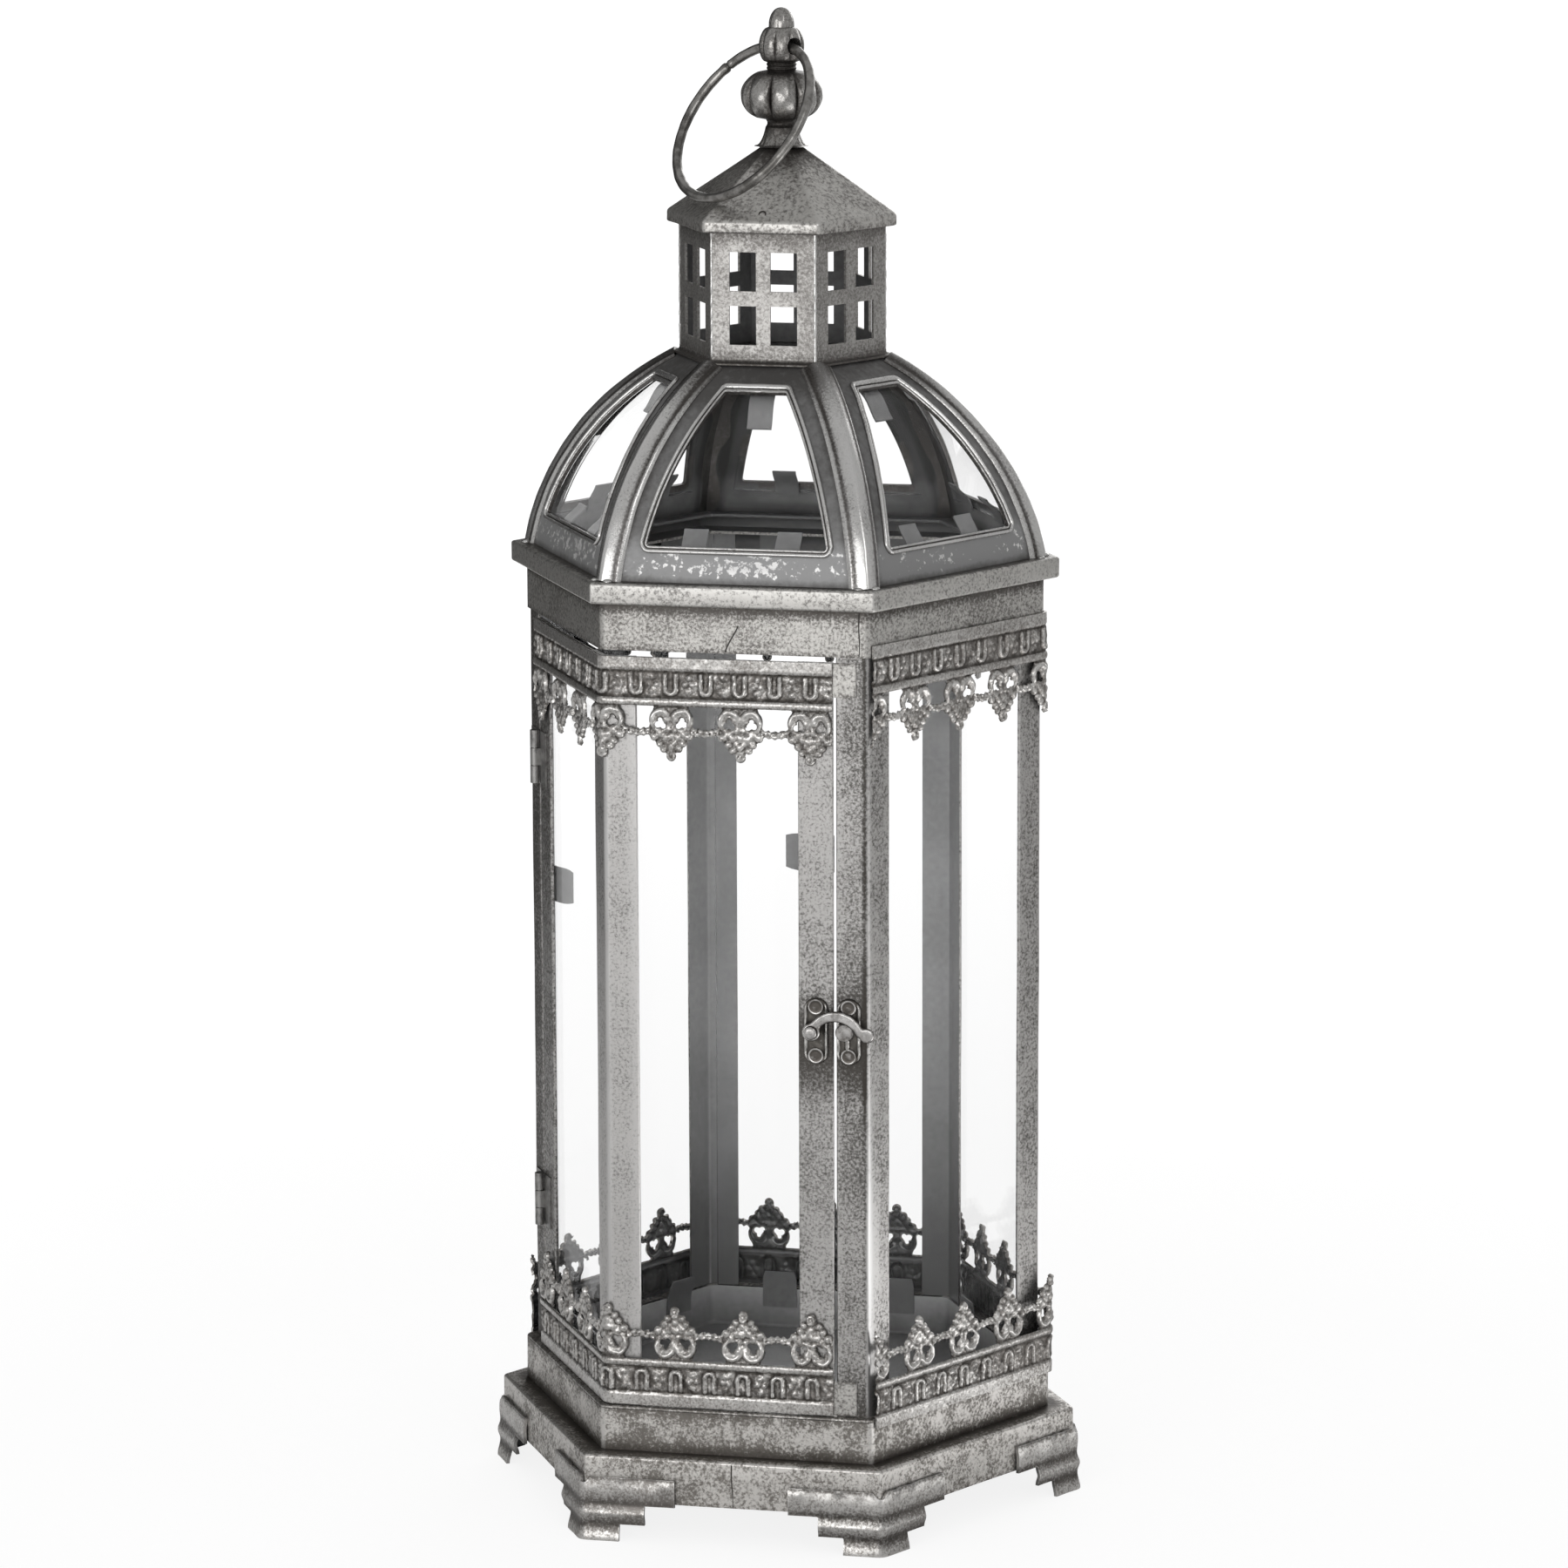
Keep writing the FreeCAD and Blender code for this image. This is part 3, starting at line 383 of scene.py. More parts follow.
def silver_leaf(name, leaf, primer, dirt_and_shade, bright, grain=0.9, cover=0.5, softness=0.10, drift=0.5,
                sheen=(0.50, 0.36), metal=0.85, clump=0.25):
    """Silver leaf laid over grey primer and rubbed back by hand: pale flakes of about the grain size in
    millimetres on a darker ground, thinner in clouds, darker where dirty and where shade is painted into
    hollows and joints, and bright where rubbed and where highlights are painted on bends. Real flakes go down
    to tenths of a millimetre, and are drawn about a millimetre wide so that they show."""
    scrap_size, cloud_size, dent_size = 6, 38, 22
    dent_depth, skin_depth = 0.12, 0.05
    made, tree, shader = blank_material(name)
    place = node(tree, "TexCoord").outputs["Object"]
    speck = node(tree, "TexNoise", {"Scale": 1 / (grain * MM), "Detail": 4.0, "Roughness": 0.7},
                 {"Vector": place}).outputs[0]
    scrap = node(tree, "TexNoise", {"Scale": 1 / (scrap_size * MM), "Detail": 4.0, "Roughness": 0.7},
                 {"Vector": place}).outputs[0]
    cloud = node(tree, "TexNoise", {"Scale": 1 / (cloud_size * MM), "Detail": 3.0, "Roughness": 0.6},
                 {"Vector": place}).outputs[0]
    # The first mark brightens where the leaf is rubbed and where a highlight is painted; the second darkens
    # where it is dirty and where shade is painted.
    wear_and_highlight = node(tree, "Attribute", attribute_name="wear_and_highlight").outputs["Fac"]
    grime_and_shade = node(tree, "Attribute", attribute_name="grime_and_shade").outputs["Fac"]
    mottled = node(tree, "Math", {1: clump}, {0: scrap, 2: speck}, operation="MULTIPLY_ADD").outputs[0]
    drifted = node(tree, "Math", {1: drift}, {0: cloud, 2: mottled}, operation="MULTIPLY_ADD").outputs[0]
    rubbed = node(tree, "Math", {1: 0.2}, {0: wear_and_highlight, 2: drifted}, operation="MULTIPLY_ADD").outputs[0]
    dulled = node(tree, "Math", {1: -0.25}, {0: grime_and_shade, 2: rubbed}, operation="MULTIPLY_ADD").outputs[0]
    middle = 0.5 + clump / 2 + drift / 2 + 0.5 * (0.5 - cover)
    flake = node(tree, "MapRange", {"From Min": middle - softness, "From Max": middle + softness},
                 {"Value": dulled}, interpolation_type="SMOOTHSTEP").outputs[0]
    ground = node(tree, "Mix", {6: colour(primer), 7: colour(leaf)}, {0: flake}, data_type="RGBA").outputs[2]
    # Stains follow the clouds and the second mark, so they hold painted shade as well as dirty patches.
    spread = node(tree, "Math", {1: 0.9}, {0: cloud, 2: grime_and_shade}, operation="MULTIPLY_ADD").outputs[0]
    broken = node(tree, "Math", {1: -0.9}, {0: mottled, 2: spread}, operation="MULTIPLY_ADD").outputs[0]
    stain_and_shade = node(tree, "MapRange", {"From Min": 0.0, "From Max": 0.9, "To Max": 0.9},
                 {"Value": broken}).outputs[0]
    dark = node(tree, "Mix", {7: colour(dirt_and_shade)}, {0: stain_and_shade, 6: ground}, data_type="RGBA").outputs[2]
    shine = node(tree, "MapRange", {"From Min": 0.25, "From Max": 1.2, "To Max": 0.8},
                 {"Value": wear_and_highlight}).outputs[0]
    final = node(tree, "Mix", {7: colour(bright)}, {0: shine, 6: dark}, data_type="RGBA").outputs[2]
    tree.links.new(final, shader.inputs["Base Color"])
    rough = node(tree, "MapRange", {"To Min": sheen[0], "To Max": sheen[1]}, {"Value": flake}).outputs[0]
    tree.links.new(rough, shader.inputs["Roughness"])
    shader.inputs["Metallic"].default_value = metal
    dent = node(tree, "TexNoise", {"Scale": 1 / (dent_size * MM), "Detail": 1.0},
                {"Vector": place}).outputs[0]
    hand = node(tree, "Bump", {"Strength": 1.0, "Distance": dent_depth * MM}, {"Height": dent}).outputs[0]
    skin = node(tree, "Bump", {"Strength": 0.4, "Distance": skin_depth * MM},
                {"Height": dulled, "Normal": hand}).outputs[0]
    tree.links.new(skin, shader.inputs["Normal"])
    return made


def sprayed_primer(name, shade, spot, rough=0.55, rubs=0.9):
    """Grey primer sprayed inside and left bare: matt and dark with fine dust and a faint mottle, paler where
    a highlight is painted on a fold or a stamped ridge, and nearly black where shade is painted in, such as
    low inside the posts and in hollows.
    Real dust is far below a millimetre, and is drawn coarser so that it shows."""
    dust_size, mottle_size, grit_depth = 2.2, 26, 0.05
    made, tree, shader = blank_material(name)
    place = node(tree, "TexCoord").outputs["Object"]
    dust = node(tree, "TexNoise", {"Scale": 1 / (dust_size * MM), "Detail": 4.0, "Roughness": 0.7},
                {"Vector": place}).outputs[0]
    mottle = node(tree, "TexNoise", {"Scale": 1 / (mottle_size * MM), "Detail": 2.0},
                  {"Vector": place}).outputs[0]
    both = node(tree, "Math", {1: 0.8}, {0: mottle, 2: dust}, operation="MULTIPLY_ADD").outputs[0]
    amount = node(tree, "MapRange", {"From Min": 0.7, "From Max": 1.1}, {"Value": both}).outputs[0]
    shades = node(tree, "Mix", {6: colour(shade), 7: colour(spot)}, {0: amount}, data_type="RGBA").outputs[2]
    wear_and_highlight = node(tree, "Attribute", attribute_name="wear_and_highlight").outputs["Fac"]
    # Paler where a highlight is painted on folds and ridges, and nearly black where shade is painted in.
    rubbed = node(tree, "MapRange", {"From Min": 0.12, "From Max": rubs, "To Max": 0.75},
                  {"Value": wear_and_highlight}).outputs[0]
    grime_and_shade = node(tree, "Attribute", attribute_name="grime_and_shade").outputs["Fac"]
    shade_and_grime_mix = node(tree, "Mix", {7: colour("#232221")}, {0: grime_and_shade, 6: shades}, data_type="RGBA").outputs[2]
    final = node(tree, "Mix", {7: colour("#b4b4b3")}, {0: rubbed, 6: shade_and_grime_mix}, data_type="RGBA").outputs[2]
    tree.links.new(final, shader.inputs["Base Color"])
    shader.inputs["Roughness"].default_value = rough
    shader.inputs["Metallic"].default_value = 0.25
    grit = node(tree, "Bump", {"Strength": 0.25, "Distance": grit_depth * MM}, {"Height": dust}).outputs[0]
    tree.links.new(grit, shader.inputs["Normal"])
    return made


def plated_steel(name, bright, dull, rough=(0.42, 0.24)):
    """Nickel-plated steel gone dull with handling: smooth and bright with darker blotches, which are also
    rougher, and darker where shade is painted round rivets, edges and holes."""
    blotch_size, pit_depth = 3.5, 0.05
    made, tree, shader = blank_material(name)
    place = node(tree, "TexCoord").outputs["Object"]
    blotch = node(tree, "TexNoise", {"Scale": 1 / (blotch_size * MM), "Detail": 4.0, "Roughness": 0.65},
                  {"Vector": place}).outputs[0]
    # The second mark darkens the plating: dirty tarnish, and painted shade.
    grime_and_shade = node(tree, "Attribute", attribute_name="grime_and_shade").outputs["Fac"]
    clean = node(tree, "Math", {1: -0.55}, {0: grime_and_shade, 2: blotch}, operation="MULTIPLY_ADD").outputs[0]
    amount = node(tree, "MapRange", {"From Min": 0.28, "From Max": 0.58}, {"Value": clean}).outputs[0]
    shades = node(tree, "Mix", {6: colour(dull), 7: colour(bright)}, {0: amount}, data_type="RGBA").outputs[2]
    tree.links.new(shades, shader.inputs["Base Color"])
    gloss = node(tree, "MapRange", {"To Min": rough[0], "To Max": rough[1]}, {"Value": amount}).outputs[0]
    tree.links.new(gloss, shader.inputs["Roughness"])
    shader.inputs["Metallic"].default_value = 0.95
    pits = node(tree, "Bump", {"Strength": 0.3, "Distance": pit_depth * MM}, {"Height": blotch}).outputs[0]
    tree.links.new(pits, shader.inputs["Normal"])
    return made


def float_glass(name, tint):
    """Clear float glass: smooth, faintly grey, and letting the lamps' light through to the inside. Its index
    is below that of real glass, because the photo's panes mirror next to nothing even at a glancing view."""
    made, tree, shader = blank_material(name)
    shader.inputs["Base Color"].default_value = colour(tint)
    shader.inputs["Roughness"].default_value = 0.0
    shader.inputs["IOR"].default_value = 1.12
    shader.inputs["Transmission Weight"].default_value = 1.0
    passing = node(tree, "BsdfTransparent", {"Color": colour(tint)})
    mix_at_output(tree, node(tree, "LightPath").outputs["Is Shadow Ray"], shader, passing)
    return made


# Bands and rails: soft pale flakes over grey, like brushed silver from a step away
leafed_sheet = silver_leaf("silver_leaf_on_folded_tin", "#bfbdb9", "#6a6764", "#403c38", "#d0cfcd",
                           grain=1.0, cover=0.57, softness=0.15, drift=0.4)
# Posts and stiles: the same leaf handled darker, with bends brightened by painted highlights
leafed_posts = silver_leaf("silver_leaf_on_folded_posts", "#b2b0ae", "#585653", "#3d3935", "#d4d3d2",
                           grain=1.0, cover=0.52, softness=0.15, drift=0.35)
# Base and plinth: leaf rubbed back into larger pale scraps on a warm grey
leafed_base = silver_leaf("silver_leaf_rubbed_back_on_base", "#cfccc8", "#76726d", "#38332e", "#d9d7d4",
                          grain=1.1, cover=0.5, softness=0.14, clump=0.6)
# Gores: mostly bare grey primer, satin rather than metal, with a few sharp scraps of leaf
leafed_dome = silver_leaf("grey_primer_with_leaf_scraps", "#d8d7d6", "#8f8f8f", "#474543", "#979797",
                          grain=2.4, cover=0.24, softness=0.03, metal=0.45)
# Roof: leaf rubbed thin, so that the grey shows through in clouds
leafed_roof = silver_leaf("silver_leaf_rubbed_thin_on_roof", "#c0beba", "#7d7a77", "#3d3935", "#cfcecc",
                          grain=1.3, cover=0.54, softness=0.14)
# Cupola: fine soft grain, an even middle grey
leafed_cupola = silver_leaf("silver_leaf_on_punched_tin", "#b4b2af", "#75726f", "#403c38", "#cfcecc",
                            grain=0.9, cover=0.55, softness=0.24, drift=0.45)
# Ribs and beads: burnished leaf, which catches long highlights
leafed_ribs = silver_leaf("silver_leaf_burnished_on_ribs", "#cdccca", "#939190", "#3b3733", "#dedddc",
                          grain=0.7, cover=0.62, softness=0.16, sheen=(0.36, 0.22))
# Galleries and feet: ridges bright with rubbing and painted highlights over hollows nearly black with painted
# shade, so that the relief reads
leafed_stampings = silver_leaf("silver_leaf_on_stamped_tin", "#cbc9c6", "#827e7a", "#2f2b27", "#e2e1df",
                               grain=0.9, cover=0.55, softness=0.18, sheen=(0.44, 0.28))
# Finial: silvered casting, with painted shade between its lobes and painted highlights on them
cast_zinc = silver_leaf("silvered_cast_zinc", "#a3a19e", "#676461", "#2b2826", "#d5d4d2",
                        grain=0.8, cover=0.5, softness=0.18, sheen=(0.40, 0.24))
# Solder: smooth, pale and shiny in small lumps
bright_solder = silver_leaf("tin_solder_filed_bright", "#c8c7c5", "#9a9895", "#4a4642", "#dfdfde",
                            grain=0.9, cover=0.7, sheen=(0.36, 0.2))
# Inside of the sheets: matt dark grey
dark_primer = sprayed_primer("dark_grey_primer_sprayed_inside", "#5a5a5a", "#6c6c6c")
# Tabs: the same primer on soft tin, a little shinier
dark_tin = sprayed_primer("dark_grey_primer_on_tin_tabs", "#606060", "#707070", rough=0.45)
# Inside of the posts and the floor: paler grey, with painted shade towards the posts' foot and in the floor's
# corner
post_primer = sprayed_primer("grey_primer_sprayed_on_posts_and_floor", "#8d8d8d", "#a0a0a0")
# Back of the galleries: primer that ran smooth, with painted highlights on the ridges
gloss_primer = sprayed_primer("grey_primer_run_smooth_on_stampings", "#4c4c4c", "#5c5c5c", rough=0.22,
                              rubs=0.28)
# Joints and scratches: dull near-black lines
black_wax = sprayed_primer("black_wax_in_seams", "#2a2724", "#37332f")
# Latch plates and nut: bright plating with dark tarnish, and painted shade round the rivets and the pivot
steel = plated_steel("nickel_plated_steel_tarnished", "#c4c2bf", "#55524e")
# Hook, rivets and peg: plating kept bright by fingers, with painted shade at their feet and along the hook's
# edges
bright_steel = plated_steel("nickel_plated_steel_rubbed_bright", "#c3c1bf", "#55514d", rough=(0.38, 0.26))
# Carrying ring: plain wire gone an even grey
ring_steel = plated_steel("steel_wire_gone_grey", "#9c9a97", "#62605d", rough=(0.4, 0.28))
# Hinges: dull grey, next to the dark slit
dark_steel = plated_steel("steel_hinges_gone_dark", "#9f9e9c", "#636261", rough=(0.45, 0.34))
# Panes: clear, nearly without tint
glass = float_glass("clear_float_glass", "#fcfcfc")


# Folded sheet: posts, stiles and rails

def folded_strip(corner, left, right, bottom, top, inner, outer, face, bend, stained=(), levels=49, rub=0.0,
                 dull=0.0, painted_gleam=0.0):
    """Sheet folded round a corner: its section runs along the outer face and back along the inner.
    stained gives (height, spread, amount, side) of dark handling marks; side is -1, 0 or 1 of the bend.
    rub and dull brighten or darken the whole strip, and gleam paints a highlight streak right of the bend,
    stronger lower down, and a dark line on the bend, fainter lower down."""
    arc = bend * FOLD
    beside = np.array([2.0, 2.8, 3.6, 5.0, 7.0])
    bends = np.concatenate([-beside[::-1], np.linspace(-arc, arc, 11), beside])
    stops = np.concatenate([[left], bends[(bends > left + 0.6) & (bends < right - 0.6)], [right]])
    edge = 0.35
    outer_run = np.concatenate([[stops[0]], [stops[0] + edge], stops[1:-1], [stops[-1] - edge], [stops[-1]]])
    out = np.full(len(outer_run), float(outer))
    out[[0, -1]] -= edge
    along = np.concatenate([outer_run, outer_run[::-1]])[None]
    offset = np.concatenate([out, np.full(len(outer_run), inner)])[None]
    height = np.linspace(bottom, top, levels)[:, None]
    sway = 0.12 * ripple(height, along * 0.4, 60, corner + left) * np.ones_like(along)
    points = round_corner(along, offset + sway, height, corner, face, bend)
    within = np.concatenate([np.zeros(len(outer_run)), np.ones(len(outer_run))])[None]
    # The bend carries a painted highlight, outside and on the inner folds.
    fold = np.clip(1 - np.abs(along) / (arc * 1.2), 0, 1) * (0.75 + 0.3 * ripple(height, along, 23, corner))
    rim = swell(np.minimum(along - left, right - along), 0.5, 0.45)
    # A painted highlight streak right of the bend, stronger lower down.
    streak_foot, streak_top = 95, 175
    lower = ease(-height, -streak_top, -streak_foot)
    streak = (swell(along - 1.1, 1.2, painted_gleam) + swell(along - 4.0, 3.0, 0.4 * painted_gleam)) * (0.5 + 1.2 * lower)
    streak = streak * (1 + 0.3 * ripple(height, along, 47, corner))
    wear_and_highlight = np.where(within > 0, 0.6 * fold, np.maximum(fold * (1 - painted_gleam), rim) + rub + streak)
    tall = top - bottom
    # A painted dark line on the bend, fainter lower down.
    painted_shade = swell(along + 0.9, 0.7, painted_gleam) * (1 - 0.7 * lower) * (1 + 0.4 * ripple(height, along, 37, corner))
    # Painted shade at the top and bottom ends, where the strip meets other parts.
    grime_and_shade = swell(height - bottom, 0.04 * tall, 0.4) + swell(height - top, 0.035 * tall, 0.45) + painted_shade + dull
    for level, spread, amount, side in stained:
        near = 1.0 if side == 0 else np.clip(side * np.sign(along), 0, 1)
        grime_and_shade = grime_and_shade + swell(height - level, spread, amount) * near
    # Inside: painted shade, deepening towards the foot.
    painted_foot_shade = swell(height - bottom, 0.25 * tall, 0.65) * within
    return sweep(points, wear_and_highlight, np.clip(grime_and_shade * (1 - within) + painted_foot_shade, 0, 1), within)


def make_posts():
    """Five corner posts, each a strip folded round its corner; the one beside the latch is stained by hands
    and has a painted highlight streak, and the hinge post is darker than the rest."""
    bottom, top = low("post_right")[2], high("post_right")[2]
    wings = {"front_right": (FRONT_RIGHT, short_wing, post_wing), "right": (RIGHT, post_wing, post_wing),
             "back_right": (BACK_RIGHT, post_wing, post_wing), "back_left": (BACK_LEFT, post_wing, post_wing),
             "left": (LEFT, post_wing, short_wing)}
    trim = bend_trim(body_bend)
    handled = [(joint_place("hook_pivot")[2] - 4, 17, 0.9, -1)]
    own = {"front_right": {"stained": handled, "painted_gleam": 0.65}, "left": {"dull": 0.35}}
    for name, (corner, left, right) in wings.items():
        strip = folded_strip(corner, trim - left, right - trim, bottom, top, -sheet, 0, body_face, body_bend,
                             **own.get(name, {}))
        piece("post_" + name + "_folded", [strip], "frame", ["post_" + name],
              [leafed_posts, post_primer], closed=True)


def make_door_strips():
    """The door's corner post, two flat stiles and two rails, all strips on the folded line of its sides."""
    bottom, top = low("door_latch_stile")[2], high("door_latch_stile")[2]
    trim = bend_trim(body_bend)
    end = from_corner(latch_edge, body_face, body_bend)
    handled = [(joint_place("hook_pivot")[2] - 6, 16, 0.9, 0)]
    strips = [("door_corner_post", "_folded", trim - post_wing, post_wing - trim, {"rub": 0.4}),
              ("door_hinge_stile", "_edged", -end, stile_width - end, {"dull": 0.3}),
              ("door_latch_stile", "_edged", end - stile_width, end, {"stained": handled})]
    for name, worked, left, right, own in strips:
        strip = folded_strip(FRONT_LEFT, left, right, bottom, top, -sheet, 0, body_face, body_bend, **own)
        piece(name + worked, [strip], "door", [name], [leafed_posts, post_primer],
              closed=True)
    stop = from_corner(rail_end, body_face, body_bend)
    for name in ("door_top_rail", "door_bottom_rail"):
        strip = folded_strip(FRONT_LEFT, -end, stop, low(name)[2], high(name)[2], 0, stamped_sheet,
                             body_face, body_bend, levels=7)
        piece(name + "_folded", [strip], "door", [name], [leafed_sheet, dark_primer],
              closed=True)


# Hexagonal bands, each a profile carried round the six sides

def hex_rings(face, bend, arc_steps=7, stations=()):
    """Plan of hexagons with rounded corners, one row per (face, bend) pair: arcs about the corners,
    joined by the stations, which are shares of half a side from its middle."""
    face = np.asarray(face, float)[:, None]
    bend = np.minimum(np.asarray(bend, float)[:, None], 0.9 * face)
    rows = []
    for corner in range(6):
        middle = corner_turn(corner)
        angle = middle + np.linspace(-FOLD, FOLD, arc_steps)[None]
        reach = (face - bend) / COS30
        rows.append(np.stack([reach * np.cos(middle) + bend * np.cos(angle),
                              reach * np.sin(middle) + bend * np.sin(angle)], -1))
        if len(stations):
            along = face * TAN30 * np.asarray(stations, float)[None]
            rows.append(np.stack(plan_place(middle + FOLD, face, along), -1))
    return np.concatenate(rows, 1)


def plain_wall(face, bottom, top):
    """Profile of an upright wall: one distance to the sides, heights in even steps."""
    levels = 9
    return np.stack([np.full(levels, face), np.linspace(bottom, top, levels)], -1)


def hex_band(profile, bend, wear_and_highlight=0.0, grime_and_shade=0.0, inside=0.0, rubbed=0.0, wave=0.0, phase=0.0,
             stations=(-0.8, -0.6, -0.4, -0.2, 0, 0.2, 0.4, 0.6, 0.8)):
    """Sheet whose profile of (distance to the sides, height) rows is carried round a hexagon, pushed in and
    out a little by hand work and made bright on its folds, partly rubbed and partly a painted highlight."""
    profile = np.asarray(profile, float)
    arc_steps = 7
    plan = hex_rings(profile[:, 0], np.broadcast_to(bend, len(profile)), arc_steps, stations)
    height = np.broadcast_to(profile[:, 1, None], plan.shape[:2])
    reach = np.linalg.norm(plan, axis=-1)
    turn = np.arctan2(plan[..., 1], plan[..., 0])
    push = 1 + wave * ripple(turn * 80, height, 34, phase) / np.maximum(reach, 20)
    points = np.concatenate([plan * push[..., None], height[..., None]], -1)
    marks = [np.broadcast_to(np.asarray(mark, float).reshape(-1, 1), points.shape[:2])
             for mark in (wear_and_highlight, grime_and_shade, inside)]
    # Brighter on the folds: partly rubbed, partly a painted highlight.
    fold = np.tile(np.concatenate([np.sin(np.linspace(0, np.pi, arc_steps)), np.zeros(len(stations))]), 6)
    rub = rubbed * fold[None] * (0.7 + 0.3 * ripple(turn * 80, height, 9, phase))
    marks[0] = np.clip(marks[0] + rub, 0, 1)
    return patch(points, grid_faces(*points.shape[:2], False, True), *marks)


def make_base():
    """Base pan, plinth and floor tray, each a profile of (distance to the sides, height) carried round the
    hexagon: the pan is an apron turned in at its top, the plinth a plain wall on it, and the tray a flange
    on the plinth with a sunken floor."""
    bottom, top = low("base_pan")[2], high("base_pan")[2]
    seat = high("plinth_band")[2]
    outline = fillet([(base_face, bottom), (base_face, top), (POLE, top)], [1.1])
    outline = np.insert(outline, 1, [[base_face, bottom + 2], [base_face, (bottom + top) / 2]], 0)
    ledge = [[plinth_face + step, top] for step in (4, 1.5, -1, -4)]
    outline = np.insert(outline, -1, ledge, 0)
    # Bright along the pan's top fold, partly rubbed and partly a painted highlight; painted shade where the
    # plinth stands on the pan, and darker along the pan's bottom edge and top face.
    edge = swell(np.hypot(outline[:, 0] - base_face, outline[:, 1] - top), 1.3, 0.3)
    dirt_and_shade = swell(outline[:, 0] - plinth_face, 3.0, 0.95) + 0.3 * (outline[:, 1] < bottom + 1)
    dirt_and_shade = dirt_and_shade + 0.3 * (outline[:, 1] > top - 0.05)
    pan = hex_band(outline, base_bend, edge, dirt_and_shade, rubbed=0.5, wave=0.2, phase=1)
    piece("base_pan_folded", [pan], "frame", ["base_pan"], [leafed_base, dark_primer],
          thickness=sheet)
    wall = plain_wall(plinth_face, top, seat)
    # Painted shade at the plinth's foot and under the tray's flange.
    dirt_and_shade = swell(wall[:, 1] - top, 3.4, 0.9) + swell(wall[:, 1] - seat, 2.4, 0.5)
    band = hex_band(wall, plinth_bend, 0.0, dirt_and_shade, rubbed=0.95, wave=0.15, phase=2)
    piece("plinth_band_folded", [band], "frame", ["plinth_band"],
          [leafed_base, dark_primer], thickness=sheet)
    base, lid = low("floor_plate")[2], high("floor_plate")[2]
    well = low("pane_back")[1]
    tray = fillet([(POLE, base), (well + sheet, base), (well + sheet, lid - sheet),
                   (plinth_face, lid - sheet), (plinth_face, lid), (well, lid), (well, base + sheet),
                   (POLE, base + sheet)], [0.3, 0.3, 0.3, 0.6, 0.4, 1.2])
    out, level = tray.T
    within = (out < well + 0.5) & (level > base + 0.5)
    # Bright on the tray's edges; painted shade in the corner where the floor meets the well's wall.
    rim = swell(out - plinth_face, 0.8, 0.35) + swell(np.hypot(out - well, level - lid), 0.8, 0.3)
    hollow = swell(np.hypot(out - well, level - base - sheet), 7, 0.6)
    sunk = hex_band(tray, plinth_bend, rim, np.where(within, hollow, 0.5), within)
    piece("floor_plate_rounded", [sunk], "frame", ["floor_plate"],
          [leafed_base, post_primer], closed=True)


def make_head():
    """Head band, a plain wall round the post tops, and the cornice, a channel of two rounded folds open
    towards the axis; both are profiles carried round the hexagon."""
    bottom, top = low("head_band")[2], high("head_band")[2]
    wall = plain_wall(head_face, bottom, top)
    # Painted shade under the cornice at the band's top, and lighter shade at its foot.
    dirt_and_shade = swell(wall[:, 1] - top, 3.2, 0.9) + swell(wall[:, 1] - bottom, 1.0, 0.35)
    band = hex_band(wall, body_bend + sheet, 0.0, dirt_and_shade, rubbed=0.35, wave=0.15, phase=3)
    piece("head_band_folded", [band], "frame", ["head_band"], [leafed_sheet, dark_primer],
          thickness=sheet)
    bottom, top = low("cornice_rim")[2], high("cornice_rim")[2]
    gore_foot = -low("dome_gore_front")[1]
    lip = gore_foot - 6.8
    ledge = [[gore_foot + step, top] for step in (2, 0, -0.8, -1.2)]
    channel = fillet([(lip, bottom), (cornice_face, bottom), (cornice_face, top), (lip, top)], [0.9, 0.9])
    channel = np.insert(channel, -1, ledge, 0)
    # Bright along the outer folds, partly rubbed and partly a painted highlight; painted shade on the ledge
    # where the gores stand.
    folds = np.abs(channel[:, 1] - (bottom + top) / 2) > 2
    edge = swell(channel[:, 0] - cornice_face, 0.8, 0.35) * folds
    dirt_and_shade = swell(channel[:, 0] - gore_foot, 3.5, 0.95)
    band = hex_band(channel, cornice_bend, edge, dirt_and_shade, channel[:, 0] < gore_foot - 0.9, rubbed=0.5, wave=0.2,
                    phase=4)
    piece("cornice_rim_rolled", [band], "frame", ["cornice_rim"],
          [leafed_sheet, dark_primer], thickness=sheet * 0.95)


# Feet

